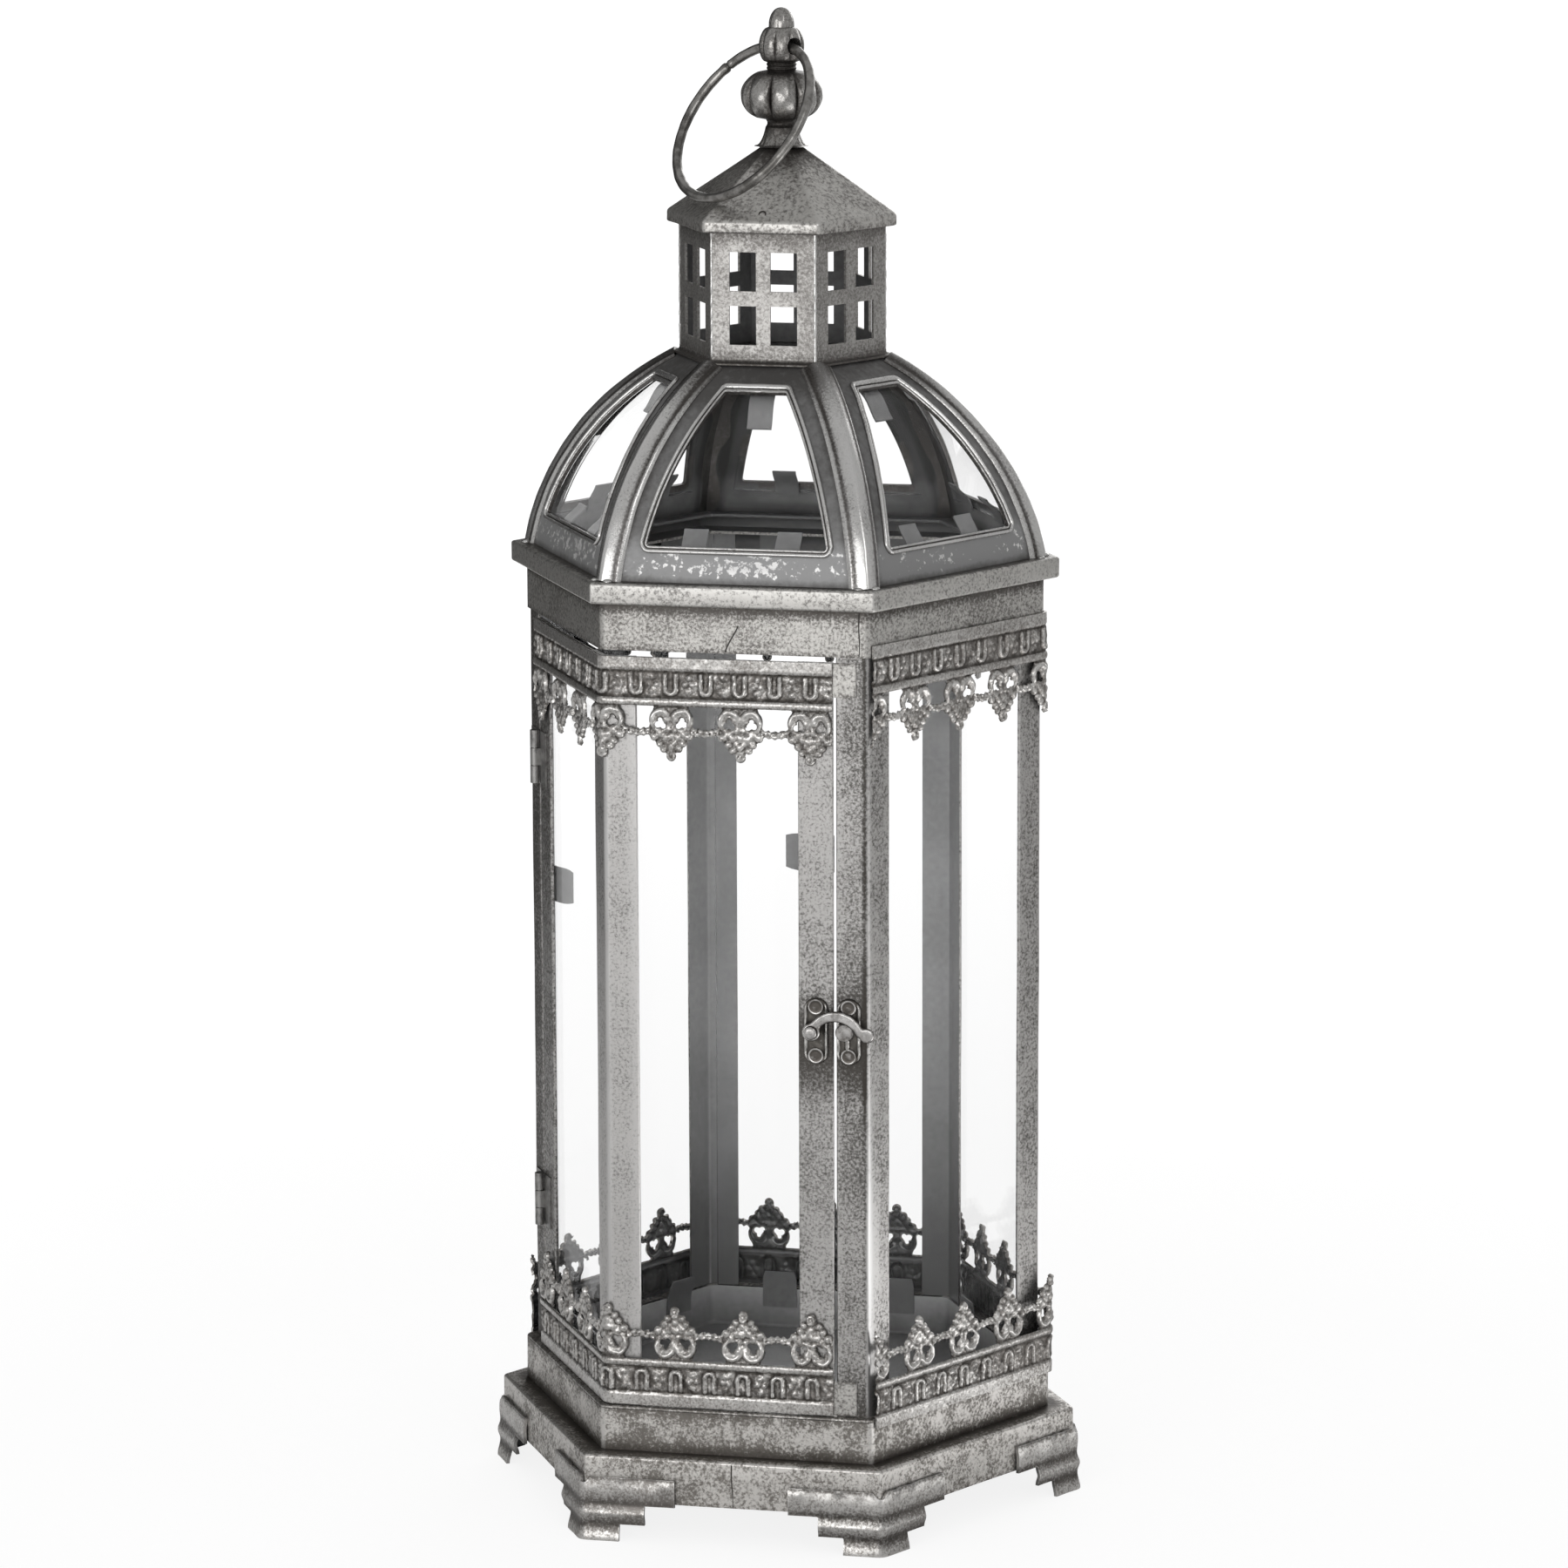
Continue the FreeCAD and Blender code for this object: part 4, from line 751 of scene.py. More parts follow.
def make_feet():
    """Six bracket feet, each a stamped plate folded round its corner of the base."""
    top = high("foot_right")[2]
    steps = [(foot_wing, 12.7), (21.0, 5.8), (12.2, 0.0)]      # wing length and height of each step
    cell, margin = 0.45, 0.8

    def inside(u, v):
        """Stepped bracket: boxes of each wing length from their foot to the top, less a notch on the fold."""
        boxes = [np.minimum(length - np.abs(u), v - foot) for length, foot in steps]
        whole = np.minimum(np.maximum.reduce(boxes), top - v)
        notch = (np.abs(u) * 1.1 + (top - v) - 2.6) / 1.5
        return np.minimum(whole, notch)

    for number, name in enumerate(["front_right", "right", "back_right", "back_left", "left", "front_left"]):
        phase = 1.7 * number

        def relief(u, v, distance):
            """Ogee down the foot: a swell, a cove, a bulge and a flared toe, with solder at the top."""
            down = top - v
            form = swell(down - 5.0, 4.2, 0.7) + swell(down - 12.9, 2.4, 1.25) + swell(down - 22.3, 4.6, 1.5)
            lumps = [(6.5 + number % 3, 1.0, 1.6), (foot_wing - 3.0, 2.2, 1.9), (14.0 - number % 2, 0.6, 1.2)]
            solder = sum(swell(np.hypot(np.abs(u) - across, down - level), size, 0.75)
                         * (0.6 + 0.5 * np.sin(phase + np.sign(u) + across)) for across, level, size in lumps)
            uneven = 0.12 * ripple(u, v, 13, phase) + 0.04 * ripple(u, v, 5.3, phase + 2)
            # Painted shade in the coves and along the top edge; brighter on the cut edge, the fold and the
            # solder.
            hollow = swell(down - 9.3, 1.8, 0.75) + swell(down - 17.0, 2.2, 0.8) + swell(down, 1.0, 0.7)
            wear_and_highlight = 0.45 * swell(distance, 0.35, 1) + swell(u, 0.7, 0.3) + 0.5 * np.clip(solder, 0, 1)
            return foot_sheet + form + solder + uneven, wear_and_highlight, np.clip(hollow, 0, 1)

        def place(u, v, out):
            """On the base's fold, out from its face."""
            return round_corner(u, out, v, number, base_face, base_bend)

        along = np.arange(-foot_wing - margin, foot_wing + margin, cell)
        plate = stamped(along, np.arange(-0.6, top + 0.6, cell), inside, relief, place)
        piece("foot_" + name + "_stamped", [plate], "frame", ["foot_" + name],
              [leafed_stampings, dark_primer], thickness=foot_sheet, even=False)


# Galleries

def gallery_places(u, v, pitch, phase):
    """Places on a gallery as x from the nearest drop and y below the strip, both shifted by a slow ripple
    because each drop is struck a little differently, and z from the nearest arch."""
    slide = 0.35 * ripple(u, v * 0.5, 21, phase)
    x = np.abs((u + slide + pitch / 2) % pitch - pitch / 2)
    y = v - strip_depth + 0.3 * ripple(u, v * 0.5, 31, phase + 2)
    z = np.abs((u + slide + pitch / 4) % (pitch / 2) - pitch / 4)
    return x, y, z


def chain_level(x, pitch):
    """Depth of the chain below the strip: level at the drops, sagging a little halfway between them."""
    return 8.3 + 0.6 * ease(x, 6.5, pitch / 2)


def scroll_oval(x, y):
    """Distance from the middle of a scroll in shares of its oval: 4.0 mm wide and 4.3 mm tall each way."""
    return np.hypot((x - 3.6) / 4.0, (y - 4.7) / 4.3)


def gallery_distance(u, v, pitch, phase):
    """Signed distance inside a gallery's cut edge: the strip, a twisted chain, and per drop two oval
    scrolls and a leaf of shrinking lobes, all as discs, less a heart of discs in each scroll. Discs are
    given as place across, place down and radius."""
    x, y = gallery_places(u, v, pitch, phase)[:2]
    discs = [(0.0, 1.4, 2.2), (3.4, 1.7, 2.8), (0.0, 9.2, 4.0), (3.6, 9.8, 2.1), (6.0, 10.2, 1.5),
             (0.0, 11.8, 3.3), (4.0, 12.5, 1.35), (2.7, 14.4, 1.3), (0.0, 14.1, 2.1), (0.0, 16.9, 1.75)]
    drop = np.maximum.reduce([radius - np.hypot(x - across, y - down) for across, down, radius in discs])
    scroll = 4.0 - 4.0 * scroll_oval(x, y)
    links = np.cos(2 * np.pi * (x - pitch / 2) / chain_link)
    chain = 1.25 + 0.25 * links - np.abs(y - chain_level(x, pitch))
    whole = np.maximum.reduce([drop, scroll, chain, strip_depth - v])
    holes = [(4.5, 6.1, 1.05), (2.6, 6.5, 0.95), (3.5, 5.8, 1.2), (3.7, 4.5, 0.8)]
    hearts = np.minimum.reduce([np.hypot(x - across, y - down) - radius for across, down, radius in holes])
    return np.minimum(whole, hearts)


def gallery_relief(u, v, distance, pitch, phase):
    """Height of the stamping: a step and a round moulding along the strip, arches every half pitch with lumps
    between, oval scrolls round the hearts, a leaf of knobs, and the chain; softer where rubbed. Knobs are
    given as place across, place down, radius and rise."""
    x, y, z = gallery_places(u, v, pitch, phase)
    struck = 0.8 + 0.35 * ripple(u, v, 15, phase + 1)
    foot, crown, half = plain_edge + 1.4, 10.4, 1.75
    leg = np.where(v > crown, np.abs(np.hypot(z, v - crown) - half), np.abs(z - half))
    leg = np.where(v < foot, np.hypot(z - half, v - foot), leg)
    arches = struck * bump(leg, 0.8, 0.95)
    between = pitch / 4 - z
    dots = np.maximum.reduce([bump(np.hypot(between - across, v - level), 1.0, 0.5)
                              for across, level in [(0, 6.6), (0.3, 11.2), (1.2, 8.9)]])
    step = 1 - ease(v, plain_edge - 0.5, plain_edge + 0.5)
    moulding = bump(v - moulding_level, 1.4, 0.75)
    strip = np.maximum.reduce([0.4 * step, arches, struck * dots, moulding])
    oval = 4.2 * scroll_oval(x, y)
    turned = 0.3 + 0.7 * ease(4.9 - y + 0.6 * (x - 3.6), -2.5, 1.0)
    scroll = np.maximum(bump(oval - 3.2, 1.0, 1.0), bump(oval - 1.9, 0.6, 0.4)) * turned
    knobs = [(1.5, 4.1, 1.3, 0.9), (6.0, 10.2, 1.5, 0.95), (4.0, 12.5, 1.3, 0.9), (2.7, 14.4, 1.25, 0.85),
             (0.0, 10.3, 1.6, 0.75), (2.3, 10.4, 1.4, 0.6), (0.0, 13.1, 1.3, 0.75), (4.0, 8.9, 1.2, 0.6),
             (1.4, 12.0, 1.0, 0.55), (1.0, 7.6, 1.1, 0.6)]
    leaf = np.maximum.reduce([bump(np.hypot(x - across, y - down), size, rise)
                              for across, down, size, rise in knobs])
    tip = np.hypot(x, (y - 16.4) / 1.25)
    tip = np.maximum(bump(tip - 1.15, 0.5, 0.9), bump(tip, 0.7, 0.7))
    row = y - chain_level(x, pitch)
    link = (x - pitch / 2 + 0.55 * np.sign(row) + chain_link / 2) % chain_link - chain_link / 2
    chain = bump(np.hypot(link, np.abs(row) - 0.6), 1.15, 1.0) * (x > 7.0)
    drop = np.maximum.reduce([scroll, struck * leaf, tip, chain])
    low_edge = v > strip_depth
    rise = np.where(low_edge, np.maximum(drop, moulding), strip)
    plain = np.clip(step + swell(v - moulding_level, 1.6, 1), 0, 1)
    lumps = 0.2 * ripple(u, v, 3.7, phase + 4) + 0.12 * ripple(u, v, 2.1, phase)
    softened = rise + lumps * (1 - 0.75 * plain)
    rounded = softened - 0.4 * np.clip(1 - distance / 0.7, 0, 1) ** 2 * low_edge
    # Raised parts brighter, partly rubbed and partly a painted highlight.
    rub = 0.6 + 0.7 * ripple(u, v, 9, phase + 2)
    wear_and_highlight = np.clip((softened - 0.5) * 1.5, 0, 1) * (1 - plain) * rub * np.where(low_edge, 0.75, 0.6)
    # Painted shade in the creases beside the ridges, along the moulding and at the strip's foot; the band's
    # floor darker and uneven.
    band = ease(v, plain_edge, plain_edge + 0.6) * (1 - ease(v, moulding_level - 1.6, moulding_level - 0.9))
    crease = swell(v - plain_edge - 0.7, 0.5, 0.6) + swell(v - moulding_level + 1.8, 0.5, 0.6)
    crease = crease + swell(v - strip_depth, 0.5, 0.4) + swell(leg - 1.1, 0.35, 0.5) * band
    floor = np.where(low_edge, 0.5, (0.45 + 0.4 * ripple(u, v, 6, phase + 3)) * band)
    grime_and_shade = np.clip(floor * np.clip(1 - softened / 0.5, 0, 1) + crease, 0, 1)
    return rounded, np.clip(wear_and_highlight, 0, 1), grime_and_shade


def make_gallery(name, body, corner, face, bend, hangs, pitch, left, right, phase):
    """One gallery: the stamping cut off at its left and right ends and folded round a corner, hanging from
    its upper edge or standing on its lower one."""
    edge = high(name)[2] if hangs else low(name)[2]
    depth = high(name)[2] - low(name)[2]

    def place(u, v, out):
        """On the fold, down or up from the plain edge."""
        return round_corner(u, stamped_sheet + out, edge - v if hangs else edge + v, corner, face, bend)

    def inside(u, v):
        """Inside the cut edge and between the two ends."""
        return np.minimum(gallery_distance(u, v, pitch, phase), np.minimum(u - left, right - u))

    def relief(u, v, distance):
        """The stamping's height at this gallery's pitch."""
        return gallery_relief(u, v, distance, pitch, phase)

    levels = np.arange(0, depth + 1, gallery_cell)
    plate = stamped(np.arange(left - 0.3, right + 0.3, gallery_cell), levels[::-1] if hangs else levels,
                    inside, relief, place)
    piece(name + "_stamped", [plate], body, [name], [leafed_stampings, gloss_primer],
          thickness=stamped_sheet, even=False)


def make_galleries():
    """Two galleries on the door and four on the frame, each folded over two sides with the same number of
    drops a side; the pitch follows from the length of a side along its face."""
    bend = body_bend + stamped_sheet
    end = from_corner(latch_edge, rail_face, bend)
    pitch = (end - drop_half_width) / (drops_per_side - 1)
    for number, (name, hangs) in enumerate([("door_gallery_top", True), ("door_gallery_bottom", False)]):
        make_gallery(name, "door", FRONT_LEFT, rail_face, bend, hangs, pitch, -end, end, number)
    for number, (corner, name, trim) in enumerate([(RIGHT, "right", 1.2), (BACK_LEFT, "back", 3.5)]):
        for level, face, bend, hangs in [("upper", head_face, body_bend + sheet, True),
                                         ("lower", plinth_face, plinth_bend, False)]:
            reach = 2 * (face * TAN30 - bend_trim(bend))
            make_gallery("gallery_" + level + "_" + name, "frame", corner, face, bend, hangs,
                         reach / drops_per_side, trim - reach, reach - trim, 2 + 2 * number + hangs)


# Dome

dome_foot = low("dome_gore_front")[2]
dome_neck = high("dome_gore_front")[2]
dome_bulge = 9.2
window_sill = low("dome_window_beads")[2] + 2
window_head = high("dome_window_beads")[2] - 2
sill_half = 31.0
head_half = 10.5
pane_lap = 2.6            # of a dome pane past its window
pane_gap = 0.15           # between a pane and the sheet or tab it lies on
pane_thick = 1.5


def dome_arc():
    """Middle and radius of a gore's outer arc, through its foot and neck with the given bulge."""
    foot = np.array([-low("dome_gore_front")[1], dome_foot])
    neck = np.array([neck_face, dome_neck])
    chord = neck - foot
    length = np.hypot(*chord)
    radius = ((length / 2) ** 2 + dome_bulge ** 2) / (2 * dome_bulge)
    away = np.array([chord[1], -chord[0]]) / length
    return (foot + neck) / 2 - away * (radius - dome_bulge), radius


def on_dome(side, along, height, off):
    """Place on a gore: its arc gives the distance out at each height, and off is square to the arc."""
    (middle_out, middle_height), radius = dome_arc()
    rise = (height - middle_height) / radius
    lean = np.sqrt(1 - rise ** 2)
    x, y = plan_place(side_turn(side), middle_out + (radius + off) * lean, along)
    return np.stack(np.broadcast_arrays(x, y, middle_height + (radius + off) * rise), -1)


def dome_out(height):
    """Distance from the axis to the middle of a gore at a height, on its arc."""
    (middle_out, middle_height), radius = dome_arc()
    return middle_out + np.sqrt(radius ** 2 - (height - middle_height) ** 2)


def window_half(height):
    """Half width of a dome window at a height: the half gore less a margin that widens upwards."""
    share = (height - window_sill) / (window_head - window_sill)
    foot_margin = dome_out(window_sill) * TAN30 - sill_half
    head_margin = dome_out(window_head) * TAN30 - head_half
    return dome_out(height) * TAN30 - foot_margin - (head_margin - foot_margin) * share


def window_loop(grow):
    """Outline of a dome window, anticlockwise from the middle of its sill, with tight round corners: first
    with straight sides, which are then let out to run beside the ribs."""
    slope = (sill_half - head_half) / (window_head - window_sill)
    spread = grow * np.hypot(1, slope)
    wide, narrow = sill_half + spread + slope * grow, head_half + spread - slope * grow
    foot, head = window_sill - grow, window_head + grow
    sill_round, head_round = max(0.9 + grow, 0.3), max(0.8 + grow, 0.3)
    turns = [(0, foot), (wide, foot), (narrow, head), (-narrow, head), (-wide, foot), (0, foot)]
    rounds = [sill_round, head_round, head_round, sill_round]
    path = resample(fillet(turns, rounds, steps=9)[:-1], per_side=24)
    level = np.clip(path[:, 1], window_sill, window_head)
    straight = head_half + slope * (window_head - level)
    share = np.clip(path[:, 0] / straight, -1, 1)
    return path + np.stack([share * (window_half(level) - straight), 0 * level], -1)


def resample(path, per_side):
    """More places along the straight runs of a closed loop, so that they can follow a curve."""
    ends = np.roll(path, -1, 0)
    runs = np.hypot(*(ends - path).T)
    counts = np.where(runs > 4, per_side, 1)
    return np.concatenate([start + (end - start) * np.linspace(0, 1, count, endpoint=False)[:, None]
                           for start, end, count in zip(path, ends, counts)])


def make_dome():
    """Six gores with their beads and panes. A gore is a grid between its own edge and the outline of its
    window: each place on the outline is carried straight out to the edge, and eleven rows lie between."""
    names = ["front", "right_front", "right_back", "back", "left_back", "left_front"]
    beads, panes = [], []
    loop = window_loop(0)
    middle = (window_sill + window_head) / 2
    reach_up = np.clip((loop[:, 1] - middle) / (window_head - middle), -1, 1)
    across = np.clip(loop[:, 0] / window_half(np.clip(loop[:, 1], window_sill, window_head)), -1, 1)
    squared = np.maximum(np.abs(reach_up), np.abs(across))
    edge_height = np.where(reach_up > 0, middle + (dome_neck - middle) * reach_up / squared,
                           middle + (middle - dome_foot) * reach_up / squared)
    edge_along = across / squared * dome_out(edge_height) * TAN30
    shares = np.linspace(1, 0, 11)[:, None]
    along = loop[None, :, 0] + (edge_along - loop[:, 0])[None] * shares
    height = loop[None, :, 1] + (edge_height - loop[:, 1])[None] * shares
    faces = grid_faces(*along.shape, False, True)
    sill_middle = (dome_foot + window_sill) / 2
    for side, name in enumerate(names):
        off = 0.15 * ripple(along, height, 19, side) * np.minimum(shares * 4, 1)
        # Painted shade at the foot, round the window and beside the ribs, where the gore meets other parts;
        # darker towards the neck and above the sill, and uneven.
        dirt_and_shade = swell(height - dome_foot, 1.6, 0.8) + swell(height - dome_neck, 6, 0.95)
        dirt_and_shade = dirt_and_shade + 0.62 * ease(height, window_sill - 2, window_sill + 5) + swell(shares, 0.08, 0.5)
        dirt_and_shade = dirt_and_shade + swell(np.abs(along) - dome_out(height) * TAN30 + 5, 1.8, 0.75)
        dirt_and_shade = dirt_and_shade + 0.2 * ripple(along, height, 29, side + 3)
        spread = 0.75 + 0.35 * ripple(along, height, 23, side + 5)
        scraps = swell(height - sill_middle, 3.0, 0.95) * swell(along - 3, 27, 1) * spread
        scraps = scraps * (1 if name == "front" else 0.6)
        gore = patch(on_dome(side, along, height, off), faces, np.clip(scraps, 0, 1), np.clip(dirt_and_shade, 0, 1))
        piece("dome_gore_" + name + "_curved", [gore], "frame", ["dome_gore_" + name],
              [leafed_dome, dark_primer], thickness=sheet)
        beads.append(window_bead(side))
        panes.append(dome_pane(side))
    piece("dome_window_beads_round", beads, "frame", ["dome_window_beads"], [leafed_ribs],
          closed=True)
    piece("dome_panes_curved", panes, "frame", ["dome_panes"], [glass], closed=True)


def window_bead(side):
    """Round wire with a thin lip inside it, carried round a window on the curve of its gore."""
    angle = np.linspace(0, np.pi, 9)
    lip = np.linspace(0, np.pi, 6)
    grow = np.concatenate([1.45 + 0.7 * np.cos(angle), [0.58], 0.12 + 0.4 * np.cos(lip), [-0.3, 2.15]])
    off = np.concatenate([0.1 + 1.0 * np.sin(angle), [0.1], 0.2 + 0.4 * np.sin(lip), [-1.0, -1.0]])
    loops = np.stack([window_loop(step) for step in grow], 1)
    uneven = 0.1 * ripple(loops[..., 0], loops[..., 1], 7, side)
    points = on_dome(side, loops[..., 0], loops[..., 1], off[None] + uneven * (off > 0.05)[None])
    # Crown bright, partly rubbed and partly a painted highlight; the lip's edges and the rows against the
    # gore dark with painted shade.
    wear_and_highlight = np.clip(off - 0.1, 0, 1)[None] * (0.55 + 0.4 * ripple(loops[..., 0], loops[..., 1], 23, side + 2))
    grime_and_shade = np.where(off < 0.3, 0.9, 0.1)[None] + np.zeros(loops.shape[:2])
    return sweep(points, wear_and_highlight, grime_and_shade, closed=True)


def dome_pane(side):
    """Curved pane behind a window: straight across, following the arc upwards, front and back faces."""
    height = np.linspace(window_sill - pane_lap, window_head + pane_lap, 25)
    half = window_half(height) + pane_lap * 0.8
    along = np.concatenate([np.linspace(-1, 1, 9), np.linspace(1, -1, 9)])
    front = -sheet - pane_gap
    off = np.concatenate([np.full(9, front), np.full(9, front - pane_thick)])
    points = on_dome(side, half[:, None] * along[None], height[:, None], off[None])
    return sweep(points)


def make_ribs():
    """Ribs over the six joints: a low arch with a thin raised edge on each side, carried up each ridge of
    the dome; its edges lie on the gores, which fall away from the ridge at thirty degrees."""
    height = np.linspace(dome_foot, dome_neck, 41)
    ridge = np.stack([dome_out(height) / COS30, height], -1)
    ahead = np.gradient(ridge, axis=0)
    ahead /= np.linalg.norm(ahead, axis=1)[:, None]
    normal = np.stack([ahead[:, 1], -ahead[:, 0]], -1)
    proud, half, lip = 1.7, 5.6, 0.35
    share = np.linspace(1, -1, 25)[None]
    fall = TAN30 * half * normal[:, :1]
    crown = proud - (proud + fall - lip) * np.abs(share) ** 1.7 + bump(np.abs(share) - 0.88, 0.1, 0.35)
    across = np.concatenate([half * share[0], [-half * 0.9, 0, half * 0.9]])[None]
    under = np.concatenate([-0.9 * fall - 1.0, np.full_like(fall, -1.4), -0.9 * fall - 1.0], 1)
    blank = np.zeros((len(height), 3))
    up, side = height[:, None], share * 8
    ribs = []
    for corner in range(6):
        uneven = 0.16 * ripple(up, side, 26, corner) + 0.08 * ripple(up, side, 9, corner)
        off = np.concatenate([crown + uneven, under], 1)
        x, y = plan_place(corner_turn(corner), ridge[:, :1] + normal[:, :1] * off, across)
        points = np.stack(np.broadcast_arrays(x, y, ridge[:, 1:] + normal[:, 1:] * off), -1)
        # Crest bright, partly rubbed and partly a painted highlight; painted shade along the edges where the
        # rib meets the gores, and darker towards the neck.
        rub = 0.5 + 0.4 * ripple(up, side, 31, corner + 3)
        wear_and_highlight = np.maximum(swell(share, 0.5, 1) * rub, 0.5 * swell(np.abs(share) - 0.88, 0.08, 1))
        dirt_and_shade = swell(np.abs(share) - 0.72, 0.12, 0.9) + swell(up - dome_neck, 11, 0.85)
        ribs.append(sweep(points, np.concatenate([wear_and_highlight, blank], 1),
                          np.clip(np.concatenate([dirt_and_shade, blank + 1], 1), 0, 1)))
    piece("dome_ribs_half_round", ribs, "frame", ["dome_ribs"], [leafed_ribs], closed=True)


# Cupola and roof

def make_cupola():
    """Cupola: a plain hexagonal wall on a grid whose columns and rows lie on the edges of the vents, with the
    vents' faces left out, and a flared collar round its foot."""
    bottom, top = low("cupola")[2], high("cupola")[2]
    face = cupola_corner * COS30
    vent_width, vent_height, column_gap, row_gap = 9.2, 13.2, 4.9, 5.0
    inner, outer = column_gap / 2, column_gap / 2 + vent_width
    stations = np.array([-outer, -inner, inner, outer]) / (face * TAN30)
    middle = (bottom + top) / 2
    rows = np.array([bottom, bottom + 2, middle - row_gap / 2 - vent_height, middle - row_gap / 2,
                     middle + row_gap / 2, middle + row_gap / 2 + vent_height, top - 1.5, top])
    plan = hex_rings(np.full(len(rows), face), np.full(len(rows), cupola_bend), stations=stations)
    arc = plan.shape[1] // 6 - len(stations)
    height = np.broadcast_to(rows[:, None, None], plan.shape[:2] + (1,))
    faces = grid_faces(*plan.shape[:2], False, True)
    row, column = np.divmod(faces[:, 0], plan.shape[1])
    spot = column % (arc + len(stations))
    vents = np.isin(row, (2, 4)) & np.isin(spot, (arc, arc + 2))
    # Painted shade under the roof's eave at the top and by the collar at the foot; the collar darker, paler
    # at its top edge.
    dirt_and_shade = swell(rows - bottom, 3, 0.6) + swell(rows - top, 2.5, 0.6)
    grime_and_shade = np.broadcast_to(dirt_and_shade[:, None], plan.shape[:2])
    walls = patch(np.concatenate([plan, height], -1), faces[~vents], 0.0, grime_and_shade)
    piece("cupola_punched", [walls], "frame", ["cupola"], [leafed_cupola, dark_primer],
          thickness=sheet)
    rim, collar_top = face + 0.2, bottom + 2.4
    collar = fillet([(flange_face, bottom), (flange_face, bottom + sheet * 0.6), (rim, bottom + sheet),
                     (rim, collar_top)], [0.3, 1.0])
    flare = hex_band(collar, cupola_bend, 0.0, 0.75 - swell(collar[:, 1] - collar_top, 0.8, 0.5), stations=())
    piece("cupola_flange_rolled", [flare], "frame", [], [leafed_cupola, dark_primer],
          thickness=sheet * 0.5)


def make_roof():
    """Roof: a profile of an eave, a straight slope and a small flat cap, carried round the hexagon."""
    bottom, top = low("cupola_roof")[2], high("cupola_roof")[2]
    cap = 7.0 * COS30
    lip = eave_face - 4.2
    eave = 4.4
    outline = fillet([(lip, bottom), (eave_face, bottom), (eave_face, bottom + eave - 0.4), (cap, top),
                      (POLE, top)], [0.7, 2.0, 1.0])
    rounded_eave = 13         # places up to the end of the second fillet, where the slope starts
    foot, head = outline[rounded_eave - 1], outline[rounded_eave]
    slope = foot + (head - foot) * np.linspace(0, 1, 9)[1:-1, None]
    outline = np.concatenate([outline[:rounded_eave], slope, outline[rounded_eave:]])
    bends = np.minimum(2.2, outline[:, 0] * 0.5)
    # Bright along the eave's fold, partly rubbed and partly a painted highlight; painted shade round the
    # finial's seat and under the eave's edge.
    wear_and_highlight = swell(outline[:, 1] - bottom - eave + 0.6, 1.0, 0.3)
    grime_and_shade = swell(outline[:, 1] - top, 6, 0.9) + swell(outline[:, 1] - bottom, 0.6, 0.4)
    shell = hex_band(outline, bends, wear_and_highlight, grime_and_shade, rubbed=0.45, wave=0.5, phase=6,
                     stations=(-0.6, -0.3, 0, 0.3, 0.6))
    piece("cupola_roof_folded", [shell], "frame", ["cupola_roof"],
          [leafed_roof, dark_primer], thickness=sheet * 0.8)


# Finial and ring

